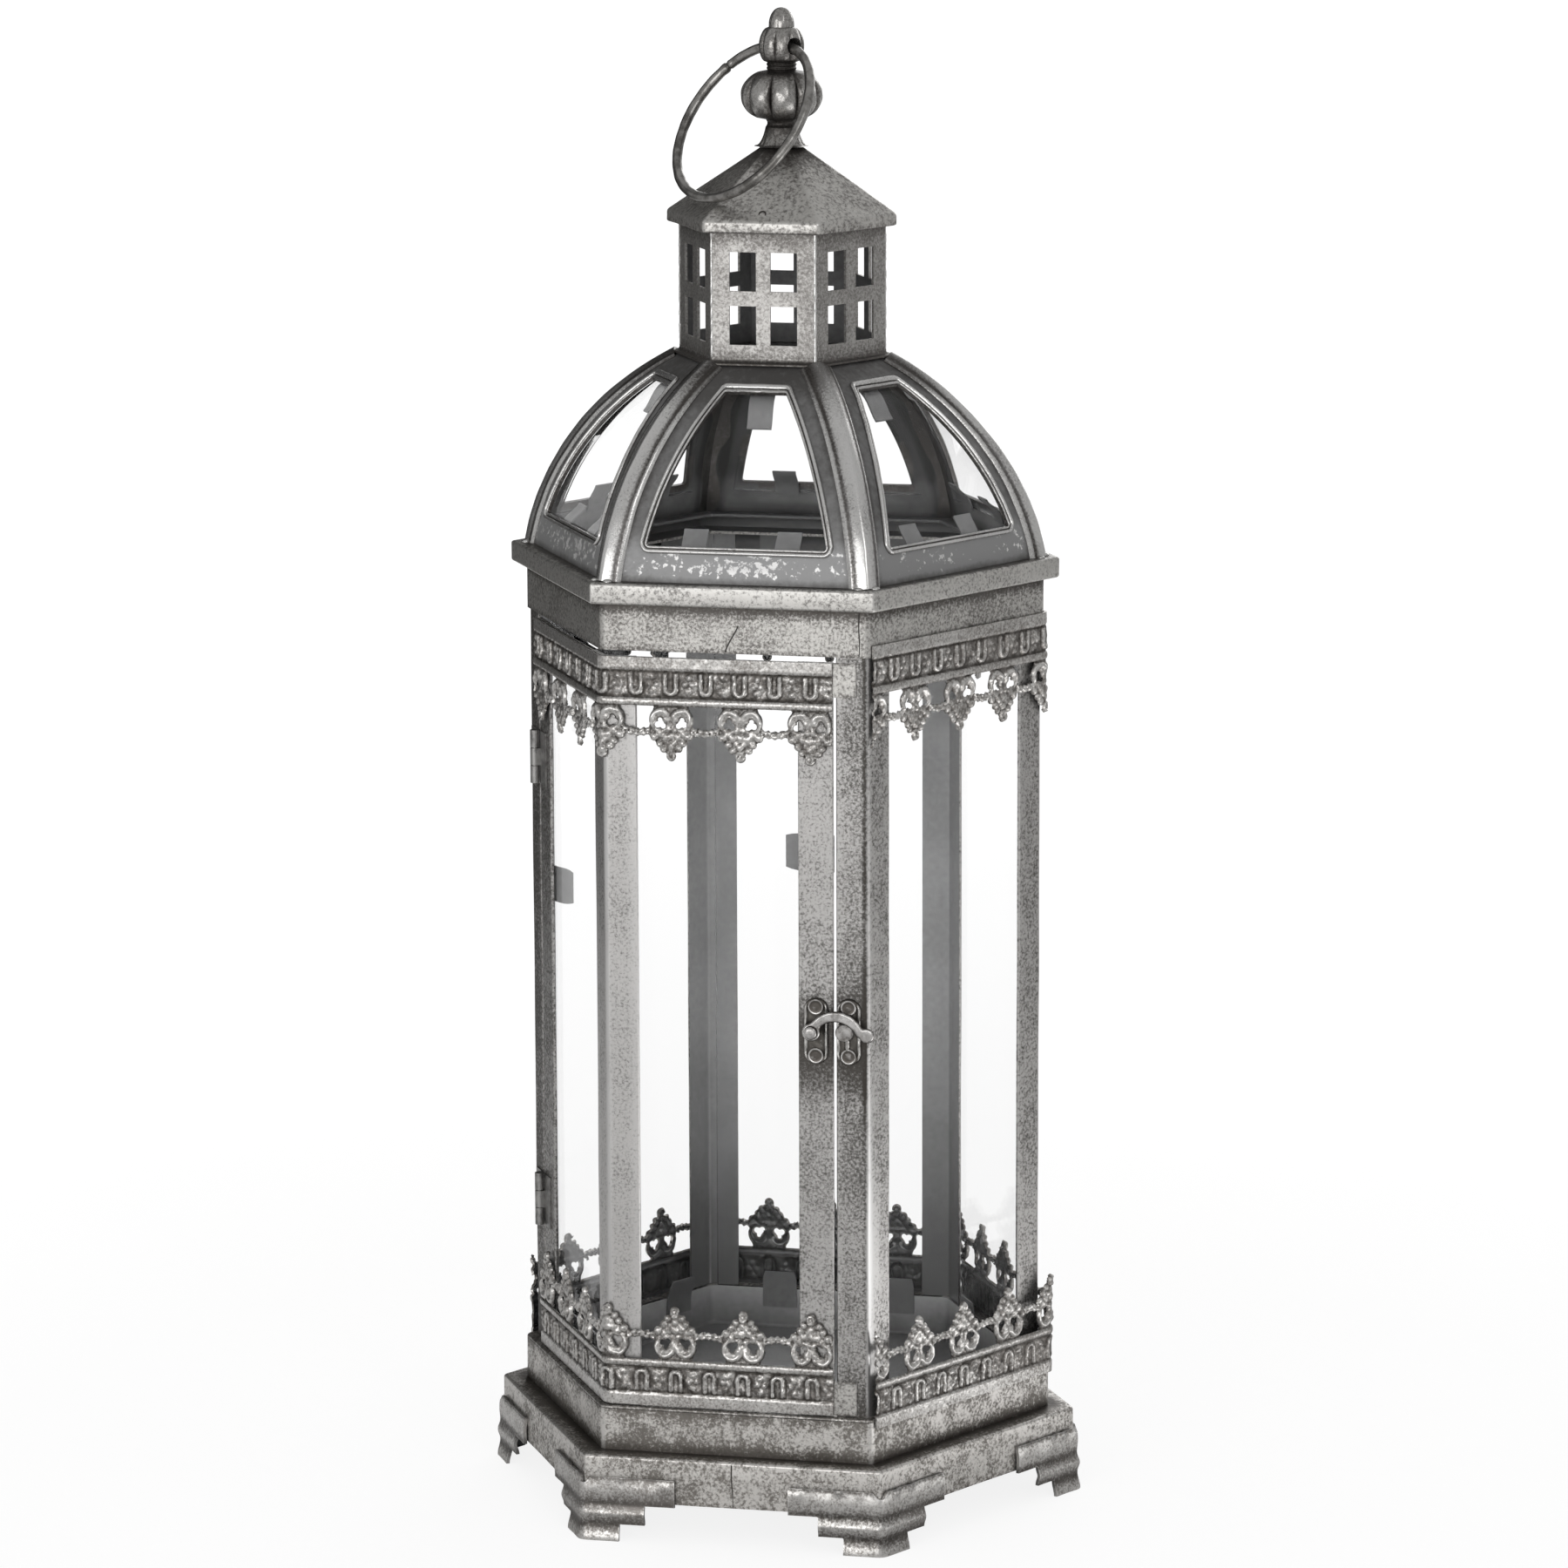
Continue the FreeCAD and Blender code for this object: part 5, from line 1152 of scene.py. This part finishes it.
def make_finial():
    """Finial: six turned parts of (radius, height) end to end, each pressed in between eight round lobes to
    its own depth, on a plain stud; the ring's bore is cut through it."""
    seat, tip = high("cupola_roof")[2], high("finial")[2]
    foot, neck, ball, collar, bud, crown = 6.4, 2.6, 16.6, 2.6, 12.0, 6.6
    levels = np.cumsum([seat, foot, neck, ball, collar, bud, crown])
    share = np.linspace(0, 1, 25)

    def bulge(start, end, widest):
        """Radius of a swelling: a straight run from start to end, plus an ellipse up to the widest."""
        ellipse = np.sqrt(1 - (2 * share - 1) ** 2)
        return start + (end - start) * share + (widest - (start + end) / 2) * ellipse

    turn = np.linspace(0, 2 * np.pi, 160, endpoint=False)
    lobes = 8
    across = (turn * lobes / (2 * np.pi) + 0.15) % 1 * 2 - 1
    lobe = np.sqrt(1 - 0.97 * across ** 2) - 1
    parts = [(9.4 - 3.9 * share ** 0.4, levels[0] + foot * share, 0.1 * (1 - share)),
             (5.5 - 0.6 * np.sin(np.pi * share), levels[1] + neck * share, 0.0 * share),
             (bulge(5.4, 4.8, 13.9), levels[2] + ball * share, 0.2 * np.sin(np.pi * share) ** 0.6),
             (4.8 + 0.3 * np.sin(np.pi * share * 2) ** 2, levels[3] + collar * share, 0.0 * share),
             (bulge(4.8, 4.2, 7.7), levels[4] + bud * share, 0.15 * np.sin(np.pi * share) ** 0.6),
             (4.3 * np.sqrt(np.clip(1 - share ** 2.4, 0, 1)) + 0.01, levels[5] + crown * share,
              0.06 * (1 - share))]
    radius, height, depth = [np.concatenate(column) for column in zip(*parts)]
    reach = radius[:, None] * (1 + depth[:, None] * lobe[None])
    reach = reach * (1 + 0.012 * ripple(turn[None] * 14, height[:, None], 5, 1))
    points = np.stack([reach * np.cos(turn), reach * np.sin(turn), height[:, None] + 0 * reach], -1)
    stud_radius = 2.0
    stud = np.stack([stud_radius * np.cos(turn), stud_radius * np.sin(turn), 0 * turn], -1)[None]
    points = np.concatenate([stud + [0, 0, low("finial")[2]], stud + [0, 0, seat], points])
    # Painted shade in the valleys between the lobes and in the waists; painted highlights on the lobes, the
    # ball's widest part and towards the top.
    valley = np.clip(-lobe[None] * depth[:, None] * 8 - 0.2, 0, 0.95)
    waist = swell(height - levels[3] - 1.3, 3.2, 0.95) + swell(height - levels[1] - 1.5, 4, 0.95)
    dirt_and_shade = np.concatenate([np.ones((2, len(turn))), valley + waist[:, None]])
    wear_and_highlight = np.concatenate([[0, 0], ease(radius, 8, 13) * 0.45 + 0.3 * ease(height, levels[4], tip)])
    wear_and_highlight = wear_and_highlight[:, None] * (1 + lobe[None])
    made = piece("finial_cast", [sweep(points, wear_and_highlight, np.clip(dirt_and_shade, 0, 1))], "frame",
                 ["finial"], [cast_zinc], closed=True)
    bore_radius, bore_half = 2.9, 14
    rod = [(POLE, -bore_half), (bore_radius, -bore_half), (bore_radius, bore_half), (POLE, bore_half)]
    # Inside the bore: painted shade.
    drill = lathe(rod, joint_place("ring_swing"), joint_axis("ring_swing"), 40, grime_and_shade=1.0)
    bore = piece("finial_bore", [drill], "frame", [], [cast_zinc], closed=True)
    cut = made.modifiers.new("Bore", "BOOLEAN")
    cut.object = bore
    cut.solver = "EXACT"
    settle(made)
    made.data.set_sharp_from_angle(angle=np.radians(50))
    bpy.data.objects.remove(bore)


def make_ring():
    """Carrying ring: a wire on a circle about the middle of its node, through the joint, a little uneven
    along its length, with an open butt seam."""
    pivot, axis = joint_place("ring_swing"), joint_axis("ring_swing")
    middle = (low("carry_ring") + high("carry_ring")) / 2
    wire = high("carry_ring")[2] - pivot[2]
    arm = pivot - middle
    reach = np.linalg.norm(arm)
    turn = np.linspace(0, 2 * np.pi, 240, endpoint=False)
    path = middle + np.cos(turn)[:, None] * arm + np.sin(turn)[:, None] * axis * reach
    seam_turn = np.radians(48)
    seam = (turn - seam_turn + np.pi) % (2 * np.pi) - np.pi
    size = wire * (1 + 0.03 * np.sin(5 * turn + 1) + 0.02 * np.sin(13 * turn) + 0.015 * np.sin(31 * turn))
    size = size + swell(seam - 0.045, 0.05, 0.18) - swell(seam, 0.012, 0.45)
    dirt_and_shade = swell(seam, 0.02, 0.9) + 0.3 * np.clip(np.sin(3 * turn + 2), 0, 1)
    piece("carry_ring_wire", [tube(path, size, 20, True, 0.0, dirt_and_shade)], "ring",
          ["carry_ring"], [ring_steel], closed=True)


# Latch

def on_front(u, v, out):
    """Place on the front side: u to the right, v up, and out from the face of the stiles."""
    return np.stack(np.broadcast_arrays(u, -body_face - out, v), -1)


def make_latch():
    """Latch plate on the door and catch plate on the post, pressed stadiums with two peened rivets each; the
    catch's peg and the hook's domed pivot. Rivets, peg and pivot are profiles turned about outward axes."""
    cell, margin = 0.2, 0.3
    pivot = joint_place("hook_pivot")
    level = pivot[2]
    peg = (low("catch_peg") + high("catch_peg")) / 2
    outward = (0, -1, 0)
    for name, rivets, body in [("latch_plate", "latch_rivets", "door"),
                               ("catch_plate", "catch_rivets", "frame")]:
        lo, hi = low(name), high(name)
        centre, radius = (lo[0] + hi[0]) / 2, (hi[0] - lo[0]) / 2
        straight = (hi[2] - lo[2]) / 2 - radius
        plate = hi[1] - lo[1]
        middle = pivot[0] if body == "door" else peg[0]
        low_rivet, high_rivet = low(rivets), high(rivets)
        size = (high_rivet[0] - low_rivet[0]) / 2
        spread = (high_rivet[2] - low_rivet[2]) / 2 - size

        def inside(u, v):
            """Stadium: distance to the middle line of the plate, less than its end radius."""
            return radius - np.hypot(u - centre, np.maximum(np.abs(v - level) - straight, 0))

        def relief(u, v, distance):
            """Soft raised rim round a shallow dish, and on the catch a small bar below its peg."""
            rim = bump(distance - 0.6, 0.55, 0.3)
            lug = np.hypot(u - centre + 0.4, v - np.clip(v, level - spread + 2.6, level))
            bar = bump(lug, 0.9, 1.0) if name == "catch_plate" else 0 * u
            dish = 0.2 * ease(distance, 1.0, 2.0)
            uneven = 0.1 * ripple(u, v, 3.1, centre)
            rise = plate + np.maximum(rim, bar) - dish + uneven - 0.5 * np.clip(1 - distance / 0.3, 0, 1)
            wear_and_highlight = np.clip(rim * 2.4 + bar, 0, 1)
            # Painted shade round the rivet heads and the pivot's hub; elsewhere the plate is tarnished, clean
            # on its rim and bar.
            socket = np.hypot(u - centre, np.abs(v - level) - spread)
            hub = np.hypot(u - middle, v - level) - 2.6
            painted_shade = swell(socket - size - 0.2, 0.45, 1.2) + swell(hub, 0.9, 0.9)
            return rise, wear_and_highlight, np.clip(0.55 - 1.6 * wear_and_highlight + painted_shade, 0, 1)

        along = np.arange(lo[0] - margin, hi[0] + margin, cell)
        pressed = stamped(along, np.arange(lo[2] - margin, hi[2] + margin, cell), inside, relief, on_front)
        piece(name + "_pressed", [pressed], body, [name], [steel], thickness=plate * 0.9,
              even=False)
        profile = [(POLE, plate * 0.5), (size, plate * 0.5), (size, plate + 0.4), (size - 0.15, plate + 0.56),
                   (size - 0.55, plate + 0.58), (size - 0.7, plate + 0.5), (1.2, plate + 0.54),
                   (POLE, plate + 0.56)]
        # Painted shade under the heads and in the groove inside the rim; the faces a little dark.
        dirt_and_shade = [1.0, 1.0, 0.8, 0.0, 0.0, 0.75, 0.5, 0.4]
        heads = [lathe(profile, (centre, -body_face, level + end * spread), outward, 32, grime_and_shade=dirt_and_shade)
                 for end in (-1, 1)]
        piece(rivets + "_peened", heads, body, [rivets], [bright_steel], closed=True)
    front = -low("catch_peg")[1] - body_face + 0.3
    width = (high("catch_peg")[0] - low("catch_peg")[0]) / 2 + 0.2
    profile = [(POLE, 0.6), (width - 0.5, 0.6), (width - 0.1, 1.2), (width, 1.5), (width - 0.05, front - 0.7),
               (width - 0.35, front - 0.08), (width - 0.5, front), (POLE, front + 0.03)]
    # Painted shade at the peg's foot, where it meets the plate.
    dirt_and_shade = [1.0, 1.0, 0.9, 0.4, 0.05, 0.0, 0.12, 0.0]
    turned = lathe(profile, (peg[0], -body_face, peg[2]), outward, 40, grime_and_shade=dirt_and_shade)
    piece("catch_peg_turned", [turned], "frame", ["catch_peg"], [bright_steel], closed=True,
          crease=25)
    top = -low("latch_pivot")[1] - body_face
    head = (high("latch_pivot")[0] - low("latch_pivot")[0]) / 2
    shank_radius = 1.45
    dome = [(head * np.cos(angle) ** 0.6, top - 0.9 + 0.9 * np.sin(angle))
            for angle in np.linspace(0.0, np.pi / 2 - 0.001, 11)]
    shank = [(POLE, 0.8), (head, 0.8), (head, 1.55), (shank_radius, 1.6), (shank_radius, top - 1.15),
             (head, top - 1.05)]
    # Painted shade on the hidden shank and under the domed head.
    dirt_and_shade = [1.0] * len(shank) + [0.9, 0.6, 0.3] + [0.0] * (len(dome) - 3)
    rivet = lathe(shank + dome, (pivot[0], -body_face, pivot[2]), outward, 40, grime_and_shade=dirt_and_shade)
    piece("latch_pivot_domed", [rivet], "door", ["latch_pivot"], [bright_steel],
          closed=True)


def make_hook():
    """Swing hook: an arched bar with an eye on the pivot and a round tail past the peg, cut from sheet and
    rounded at its front edges."""
    pivot = joint_place("hook_pivot")
    inner, outer = -high("latch_hook")[1] - body_face, -low("latch_hook")[1] - body_face
    arch_radius, drop, arch_end = 9.0, 3.3, np.radians(25)
    eye_radius, hole_radius, tail_radius, soft, rounding = 3.15, 1.55, 2.6, 0.45, 0.7
    centre = (pivot[0] + np.sqrt(arch_radius ** 2 - drop ** 2), pivot[2] - drop)
    start = np.pi - np.arcsin(drop / arch_radius)
    tail = (centre[0] + arch_radius * np.cos(arch_end) + 2.5,
            centre[1] + arch_radius * np.sin(arch_end) - 0.9)

    def inside(u, v):
        """Arched bar, fattest past its middle, blended into an eye with a hole and a round tail."""
        angle = np.arctan2(v - centre[1], u - centre[0])
        share = np.clip((start - angle) / (start - arch_end), 0, 1)
        held = start - share * (start - arch_end)
        path_u, path_v = centre[0] + arch_radius * np.cos(held), centre[1] + arch_radius * np.sin(held)
        half = 1.5 + 0.4 * np.sin(np.pi * share ** 1.2)
        from_pivot = np.hypot(u - pivot[0], v - pivot[2])
        bar = half - np.hypot(u - path_u, v - path_v)
        eye = eye_radius - from_pivot
        thumb = tail_radius - np.hypot(u - tail[0], v - tail[1])
        near = np.maximum(bar, np.maximum(eye, thumb))
        blend = near + soft * np.log(sum(np.exp((form - near) / soft) for form in (bar, eye, thumb)))
        return np.minimum(blend - 0.05, from_pivot - hole_radius)

    def relief(u, v, distance):
        """Flat front with rounded edges, with painted shade along the cut edge and round the eye's hole."""
        rise = outer - rounding * np.clip(1 - distance / rounding, 0, 1) ** 2
        round_hole = swell(np.hypot(u - pivot[0], v - pivot[2]) - 2.15, 0.2, 0.9)
        dark = 0.8 * np.clip(1 - distance / 0.3, 0, 1) + round_hole
        return rise, 0 * u, np.clip(dark, 0, 1)

    lo, hi = low("latch_hook"), high("latch_hook")
    cell, margin = 0.18, 1.2
    along = np.arange(lo[0] - margin, hi[0] + 1.6, cell)
    bar = stamped(along, np.arange(lo[2] - margin, hi[2] + margin, cell), inside, relief, on_front)
    piece("latch_hook_pressed", [bar], "hook", ["latch_hook"], [bright_steel],
          thickness=outer - inner - rounding, even=False, crease=55)


# Tin tabs that hold the glass

clip_width = 12.5
clip_length = 13.2
stile_clip_length = 17.0
tab_sheet = 0.6
stile_tabs = [(5, -1, 167.0, 13), (0, 1, 194.0, 9)]      # side, end of it, height and tilt in degrees


def bent_tab(origin, across, ahead, lift, width, length, tilt):
    """A tab folded over the edge of a pane: flat on the glass, then curling away from it by the tilt."""
    share = np.linspace(0, 1, 9)
    run = length * share
    rise = tab_sheet + length * np.tan(tilt) * ease(share, 0.15, 1.0) * share
    side = np.linspace(-0.5, 0.5, 5)
    narrow = width * (1 - 0.14 * ease(share, 0.8, 1.0))
    sideways = (narrow[:, None] * side[None])[..., None] * np.array(across)
    top = (np.array(origin) + run[:, None, None] * np.array(ahead) + sideways
           + rise[:, None, None] * np.array(lift))
    under = top - tab_sheet * np.array(lift)
    return sweep(np.concatenate([top, under[:, ::-1]], 1))


def side_frame(side):
    """Outward direction of a side and the direction from left to right along it."""
    turn = side_turn(side)
    return np.array([np.cos(turn), np.sin(turn), 0]), np.array([-np.sin(turn), np.cos(turn), 0])


def make_clips():
    """Tin tabs on the inside of the panes: up from the foot and down from the head of each, two more out of
    the door's stiles, and three on each dome pane, each bent a little differently."""
    upright = np.array([0.0, 0.0, 1.0])
    glass_inside = low("pane_back")[1]
    floor = low("post_right")[2]
    ends = {False: (low("pane_clips")[2], high("pane_clips")[2]),
            True: (low("door_pane_front")[2], high("door_pane_front")[2])}
    places = {False: (-25.0, 18.0), True: (-9.0, 11.0)}
    fixed, hung = [], []
    for side in range(6):
        normal, across = side_frame(side)
        on_door = side in (0, 5)
        mirror = -1 if side == 5 else 1
        for number, along in enumerate(places[on_door]):
            for start, rise in zip(ends[on_door], (1, -1)):
                tilt = np.radians(7 + 6 * np.sin(5.1 * side + number + rise))
                origin = normal * glass_inside + across * along * mirror + upright * start
                tab = bent_tab(origin, across, rise * upright, -normal, clip_width, clip_length, tilt)
                (hung if on_door else fixed).append(tab)
    for side, end, height, tilt in stile_tabs:
        normal, across = side_frame(side)
        edge = across * (end * high("door_pane_front")[0])
        origin = normal * glass_inside + edge + upright * (floor + height)
        hung.append(bent_tab(origin, upright, -end * across, -normal, clip_width, stile_clip_length,
                             np.radians(tilt)))
    piece("pane_clips_bent", fixed, "frame", ["pane_clips"], [dark_tin], closed=True)
    piece("door_pane_clips_bent", hung, "door", ["door_pane_clips"], [dark_tin], closed=True)
    tabs = [dome_tab(side, along + 2 * np.sin(3 * side + number), from_sill, number) for side in range(6)
            for number, (along, from_sill) in enumerate([(-15, True), (15, True), (0, False)])]
    piece("dome_clips_bent", tabs, "frame", ["dome_clips"], [dark_tin], closed=True)


def dome_tab(side, along, from_sill, number):
    """Tab on the inside of a curved pane, from the sill up or from the head down, curling inwards."""
    length, half_width, curl_depth = 10.5, 4.2, 2.6
    share = np.linspace(0, 1, 9)
    start, sign = (window_sill - 3.4, 1) if from_sill else (window_head + 3.0, -1)
    height = (start + sign * length * share)[:, None]
    curl = curl_depth * ease(share, 0.3, 1.0) * (1 + 0.4 * np.sin(4 * side + number))
    off = (-sheet - pane_gap - pane_thick - pane_gap - curl)[:, None]
    across = along + np.linspace(-half_width, half_width, 5)[None] + 0 * height
    top = on_dome(side, across, height, off)
    under = on_dome(side, across, height, off - tab_sheet)
    return sweep(np.concatenate([top, under[:, ::-1]], 1))


# Solder and small marks

def make_solder():
    """Solder: an uneven bead up each corner of the cupola, as a wire of varying radius, and two flat lumps
    turned from a half ellipse at the foot of each rib."""
    beads = []
    height = np.linspace(low("cupola")[2] + 1, high("cupola")[2] - 0.4, 60)
    flat = 0 * height
    seam_reach = cupola_corner - 0.45
    for corner in range(6):
        x, y = plan_place(corner_turn(corner), seam_reach + flat, flat)
        size = 0.55 + 0.12 * ripple(height, flat, 6, corner) + 0.1 * ripple(height, flat, 2.1, corner)
        beads.append(tube(np.stack([x, y, height], -1), size, 10, wear_and_highlight=0.6 * (corner % 2 == 0)))
    share = np.linspace(0, np.pi, 13)
    foot = dome_out(dome_foot) / COS30 + 0.6
    for corner in range(6):
        for off, size in [(-3.4, 1.3), (2.6, 1.7)]:
            middle = np.array([*plan_place(corner_turn(corner), foot, off), dome_foot + 0.1])
            lump = np.stack([size * np.sin(share) + POLE, -size * 0.5 * np.cos(share)], -1)
            beads.append(lathe(lump, middle, (0, 0, 1), 16, wear_and_highlight=0.2))
    piece("solder_seams", beads, "frame", [], [bright_solder], closed=True)


def make_marks():
    """Dark joints and marks in the sheet: thin half-sunk wires along the base's butt joint, the head band's
    joint and a scratch beside it, and a ring round the roof's rivet."""
    base_foot, base_top = low("base_pan")[2] + 0.4, high("base_pan")[2] - 1
    head_foot, head_top = low("head_band")[2], high("head_band")[2]
    seam_x = head_face * TAN30 - 3.2
    scratch_top = (head_foot + head_top) / 2 + 1.6
    ends = [([0.3, -base_face, base_foot], [-0.2, -base_face, base_top]),
            ([seam_x, -head_face, head_foot + 0.3], [seam_x, -head_face, head_top - 0.2]),
            ([1.4, -head_face, scratch_top], [-3.2, -head_face, head_foot + 0.6])]
    steps, sunk, waver = 9, 0.12, 0.12
    drift = np.zeros((steps, 3))
    drift[:, 0] = waver * np.sin(7 * np.linspace(0, 1, steps))
    drift[:, 1] = sunk
    lines = [tube(np.linspace(start, end, steps) + drift, 0.26, 8) for start, end in ends]
    turn = np.linspace(0, 2 * np.pi, 24, endpoint=False)[:, None]
    up_slope = np.array([0, 0.61, 0.79])
    rivet = np.array([0, -eave_face + 2.9, low("cupola_roof")[2] + 6.4])
    ring = rivet + 1.15 * (np.cos(turn) * [[1, 0, 0]] + np.sin(turn) * up_slope)
    lines.append(tube(ring, 0.24, 8, True))
    piece("seam_lines", lines, "frame", [], [black_wax], closed=True)


def dress_frame_nodes():
    """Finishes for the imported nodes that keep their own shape."""
    finishes = {dark_steel: ["hinge_leaves_post", "hinge_leaves_door", "hinge_pins"], steel: ["finial_nut"],
                glass: ["door_pane_front", "door_pane_side", "pane_right_front", "pane_right_back",
                        "pane_back", "pane_left_back"]}
    for finish, names in finishes.items():
        for name in names:
            mesh = frame["nodes"][name].data
            mesh.materials.clear()
            mesh.materials.append(finish)


# Floor, light and camera

def seen_clearly(tree):
    """One for what the camera sees straight, through the glass or mirrored in its face, else nought."""
    path = node(tree, "LightPath").outputs
    seen = node(tree, "Math", links={0: path["Is Camera Ray"], 1: path["Is Transmission Ray"]},
                operation="MAXIMUM").outputs[0]
    return node(tree, "Math", links={0: seen, 1: path["Is Singular Ray"]}, operation="MAXIMUM").outputs[0]


def staged_square(name, finish, shade, corners):
    """A square of matt material that belongs to the set and not to the lantern: four corners, one face."""
    mesh = bpy.data.meshes.new(name)
    mesh.from_pydata([tuple(corner) for corner in corners], [], [(0, 1, 2, 3)])
    square = bpy.data.objects.new(name, mesh)
    bpy.context.scene.collection.objects.link(square)
    made, tree, shader = blank_material(finish)
    shader.inputs["Base Color"].default_value = colour(shade)
    shader.inputs["Specular IOR Level"].default_value = 0.0
    mesh.materials.append(made)
    return square, tree, shader


def make_floor():
    """A flat square floor of matt paper. What is seen of it directly is mostly white glow, all of it from
    1.5 m off, and the part of it near the lantern keeps some of the shadow."""
    half = 30.0
    corners = [(-half, -half, 0), (half, -half, 0), (half, half, 0), (-half, half, 0)]
    tree, shader = staged_square("floor", "white_paper_floor", "#efefef", corners)[1:]
    shader.inputs["Roughness"].default_value = 0.9
    glow = node(tree, "Emission", {"Color": (1, 1, 1, 1), "Strength": 1.1})
    reach = node(tree, "VectorMath", links={0: node(tree, "TexCoord").outputs["Object"]}, operation="LENGTH")
    fade = node(tree, "MapRange", {"From Min": 0.3, "From Max": 1.5, "To Min": 0.78, "To Max": 1.0},
                {"Value": reach.outputs["Value"]})
    share = node(tree, "Math", links={0: seen_clearly(tree), 1: fade.outputs[0]}, operation="MULTIPLY")
    mix_at_output(tree, share.outputs[0], shader, glow)


def make_card(name, shade, place, turn, width, height, flat=False, glow=0.0):
    """A card standing or lying beside the set, out of the picture. The metal mirrors it as a darker or
    brighter side, and the smooth glass doesn't."""
    across = np.array([np.cos(turn), np.sin(turn), 0]) * width / 2
    rise = np.array([-np.sin(turn), np.cos(turn), 0] if flat else [0, 0, 1]) * height
    foot = np.array(place, float)
    corners = [foot - across, foot + across, foot + across + rise, foot - across + rise]
    card, tree, shader = staged_square(name, "felt_" + name, shade, corners)
    shader.inputs["Roughness"].default_value = 1.0
    shader.inputs["Emission Color"].default_value = colour(shade)
    shader.inputs["Emission Strength"].default_value = glow
    gap = node(tree, "BsdfTransparent", {"Color": (1, 1, 1, 1)})
    mix_at_output(tree, node(tree, "LightPath").outputs["Is Singular Ray"], shader, gap)
    card.visible_camera = False
    card.visible_transmission = False
    card.visible_diffuse = False
    card.visible_shadow = False


def make_light():
    """A white world that lights at about half strength, and three softboxes aimed at the lantern's middle."""
    world = bpy.data.worlds.new("studio")
    bpy.context.scene.world = world
    world.use_nodes = True
    tree = world.node_tree
    tree.nodes.clear()
    white = node(tree, "Background", {"Color": (1, 1, 1, 1), "Strength": 1.0})
    fill = node(tree, "Background", {"Color": (1, 1, 1, 1), "Strength": 0.52})
    both = node(tree, "MixShader", links={0: seen_clearly(tree), 1: fill.outputs[0], 2: white.outputs[0]})
    node(tree, "OutputWorld", links={"Surface": both.outputs[0]})
    middle = Vector((0, 0, 0.25))
    lamps = [("front_softbox", (-0.6, -2.6, 0.62), 2.4, 1.1, 22),
             ("rim_softbox", (1.3, -1.9, 1.5), 0.5, 1.2, 6),
             ("back_softbox", (0.5, 2.7, 1.15), 2.2, 1.2, 16)]
    for name, spot, width, height, power in lamps:
        lamp = bpy.data.lights.new(name, "AREA")
        lamp.shape = "RECTANGLE"
        lamp.size = width
        lamp.size_y = height
        lamp.energy = power
        made = bpy.data.objects.new(name, lamp)
        made.location = spot
        made.rotation_euler = (middle - Vector(spot)).to_track_quat("-Z", "Y").to_euler()
        bpy.context.scene.collection.objects.link(made)


def make_camera():
    """Camera at the place that the photograph's lines give: turned 12 degrees to the right of the front,
    11 degrees above, and 2.26 m from the axis."""
    azimuth, pitch, roll = np.radians(12.02), np.radians(11.21), np.radians(-0.19)
    distance, aim, focal_pixels, frame_pixels = 2262.0, 247.1, 7507.0, 1800.0
    back = np.array([np.sin(azimuth) * np.cos(pitch), -np.cos(azimuth) * np.cos(pitch), np.sin(pitch)])
    right = np.array([np.cos(azimuth), np.sin(azimuth), 0.0])
    up = np.cross(back, right)
    level = np.cos(roll) * right + np.sin(roll) * up
    raised = np.cos(roll) * up - np.sin(roll) * right
    lens = bpy.data.cameras.new("camera")
    lens.sensor_width = 36.0
    lens.lens = focal_pixels / frame_pixels * lens.sensor_width
    lens.clip_end = 100.0
    camera = bpy.data.objects.new("camera", lens)
    place = (np.array([0, 0, aim]) + back * distance) * MM
    rows = np.stack([level, raised, back, place], 1).tolist()
    camera.matrix_world = Matrix(rows + [[0, 0, 0, 1]])
    bpy.context.scene.collection.objects.link(camera)
    bpy.context.scene.camera = camera


make_base()
make_feet()
make_posts()
make_door_strips()
make_head()
make_galleries()
make_dome()
make_ribs()
make_cupola()
make_roof()
make_finial()
make_ring()
make_latch()
make_hook()
make_clips()
make_solder()
make_marks()
dress_frame_nodes()
make_floor()
make_card("dark_card_left", "#2c2c2c", (-0.67, 0.60, 0.0), np.radians(48), 1.1, 1.3)
make_card("grey_card_right", "#dcdcdc", (0.86, 0.28, 0.0), np.radians(-72), 0.9, 1.3)
# This card glows: a light seen only mirrored in the metal, which brightens the right-facing sides and bends
# low down.
make_card("white_card_low", "#ffffff", (0.19, -0.05, 0.002), np.radians(-105), 0.3, 0.7, flat=True,
          glow=1.8)
make_light()
make_camera()
bpy.context.scene.view_settings.view_transform = "Standard"
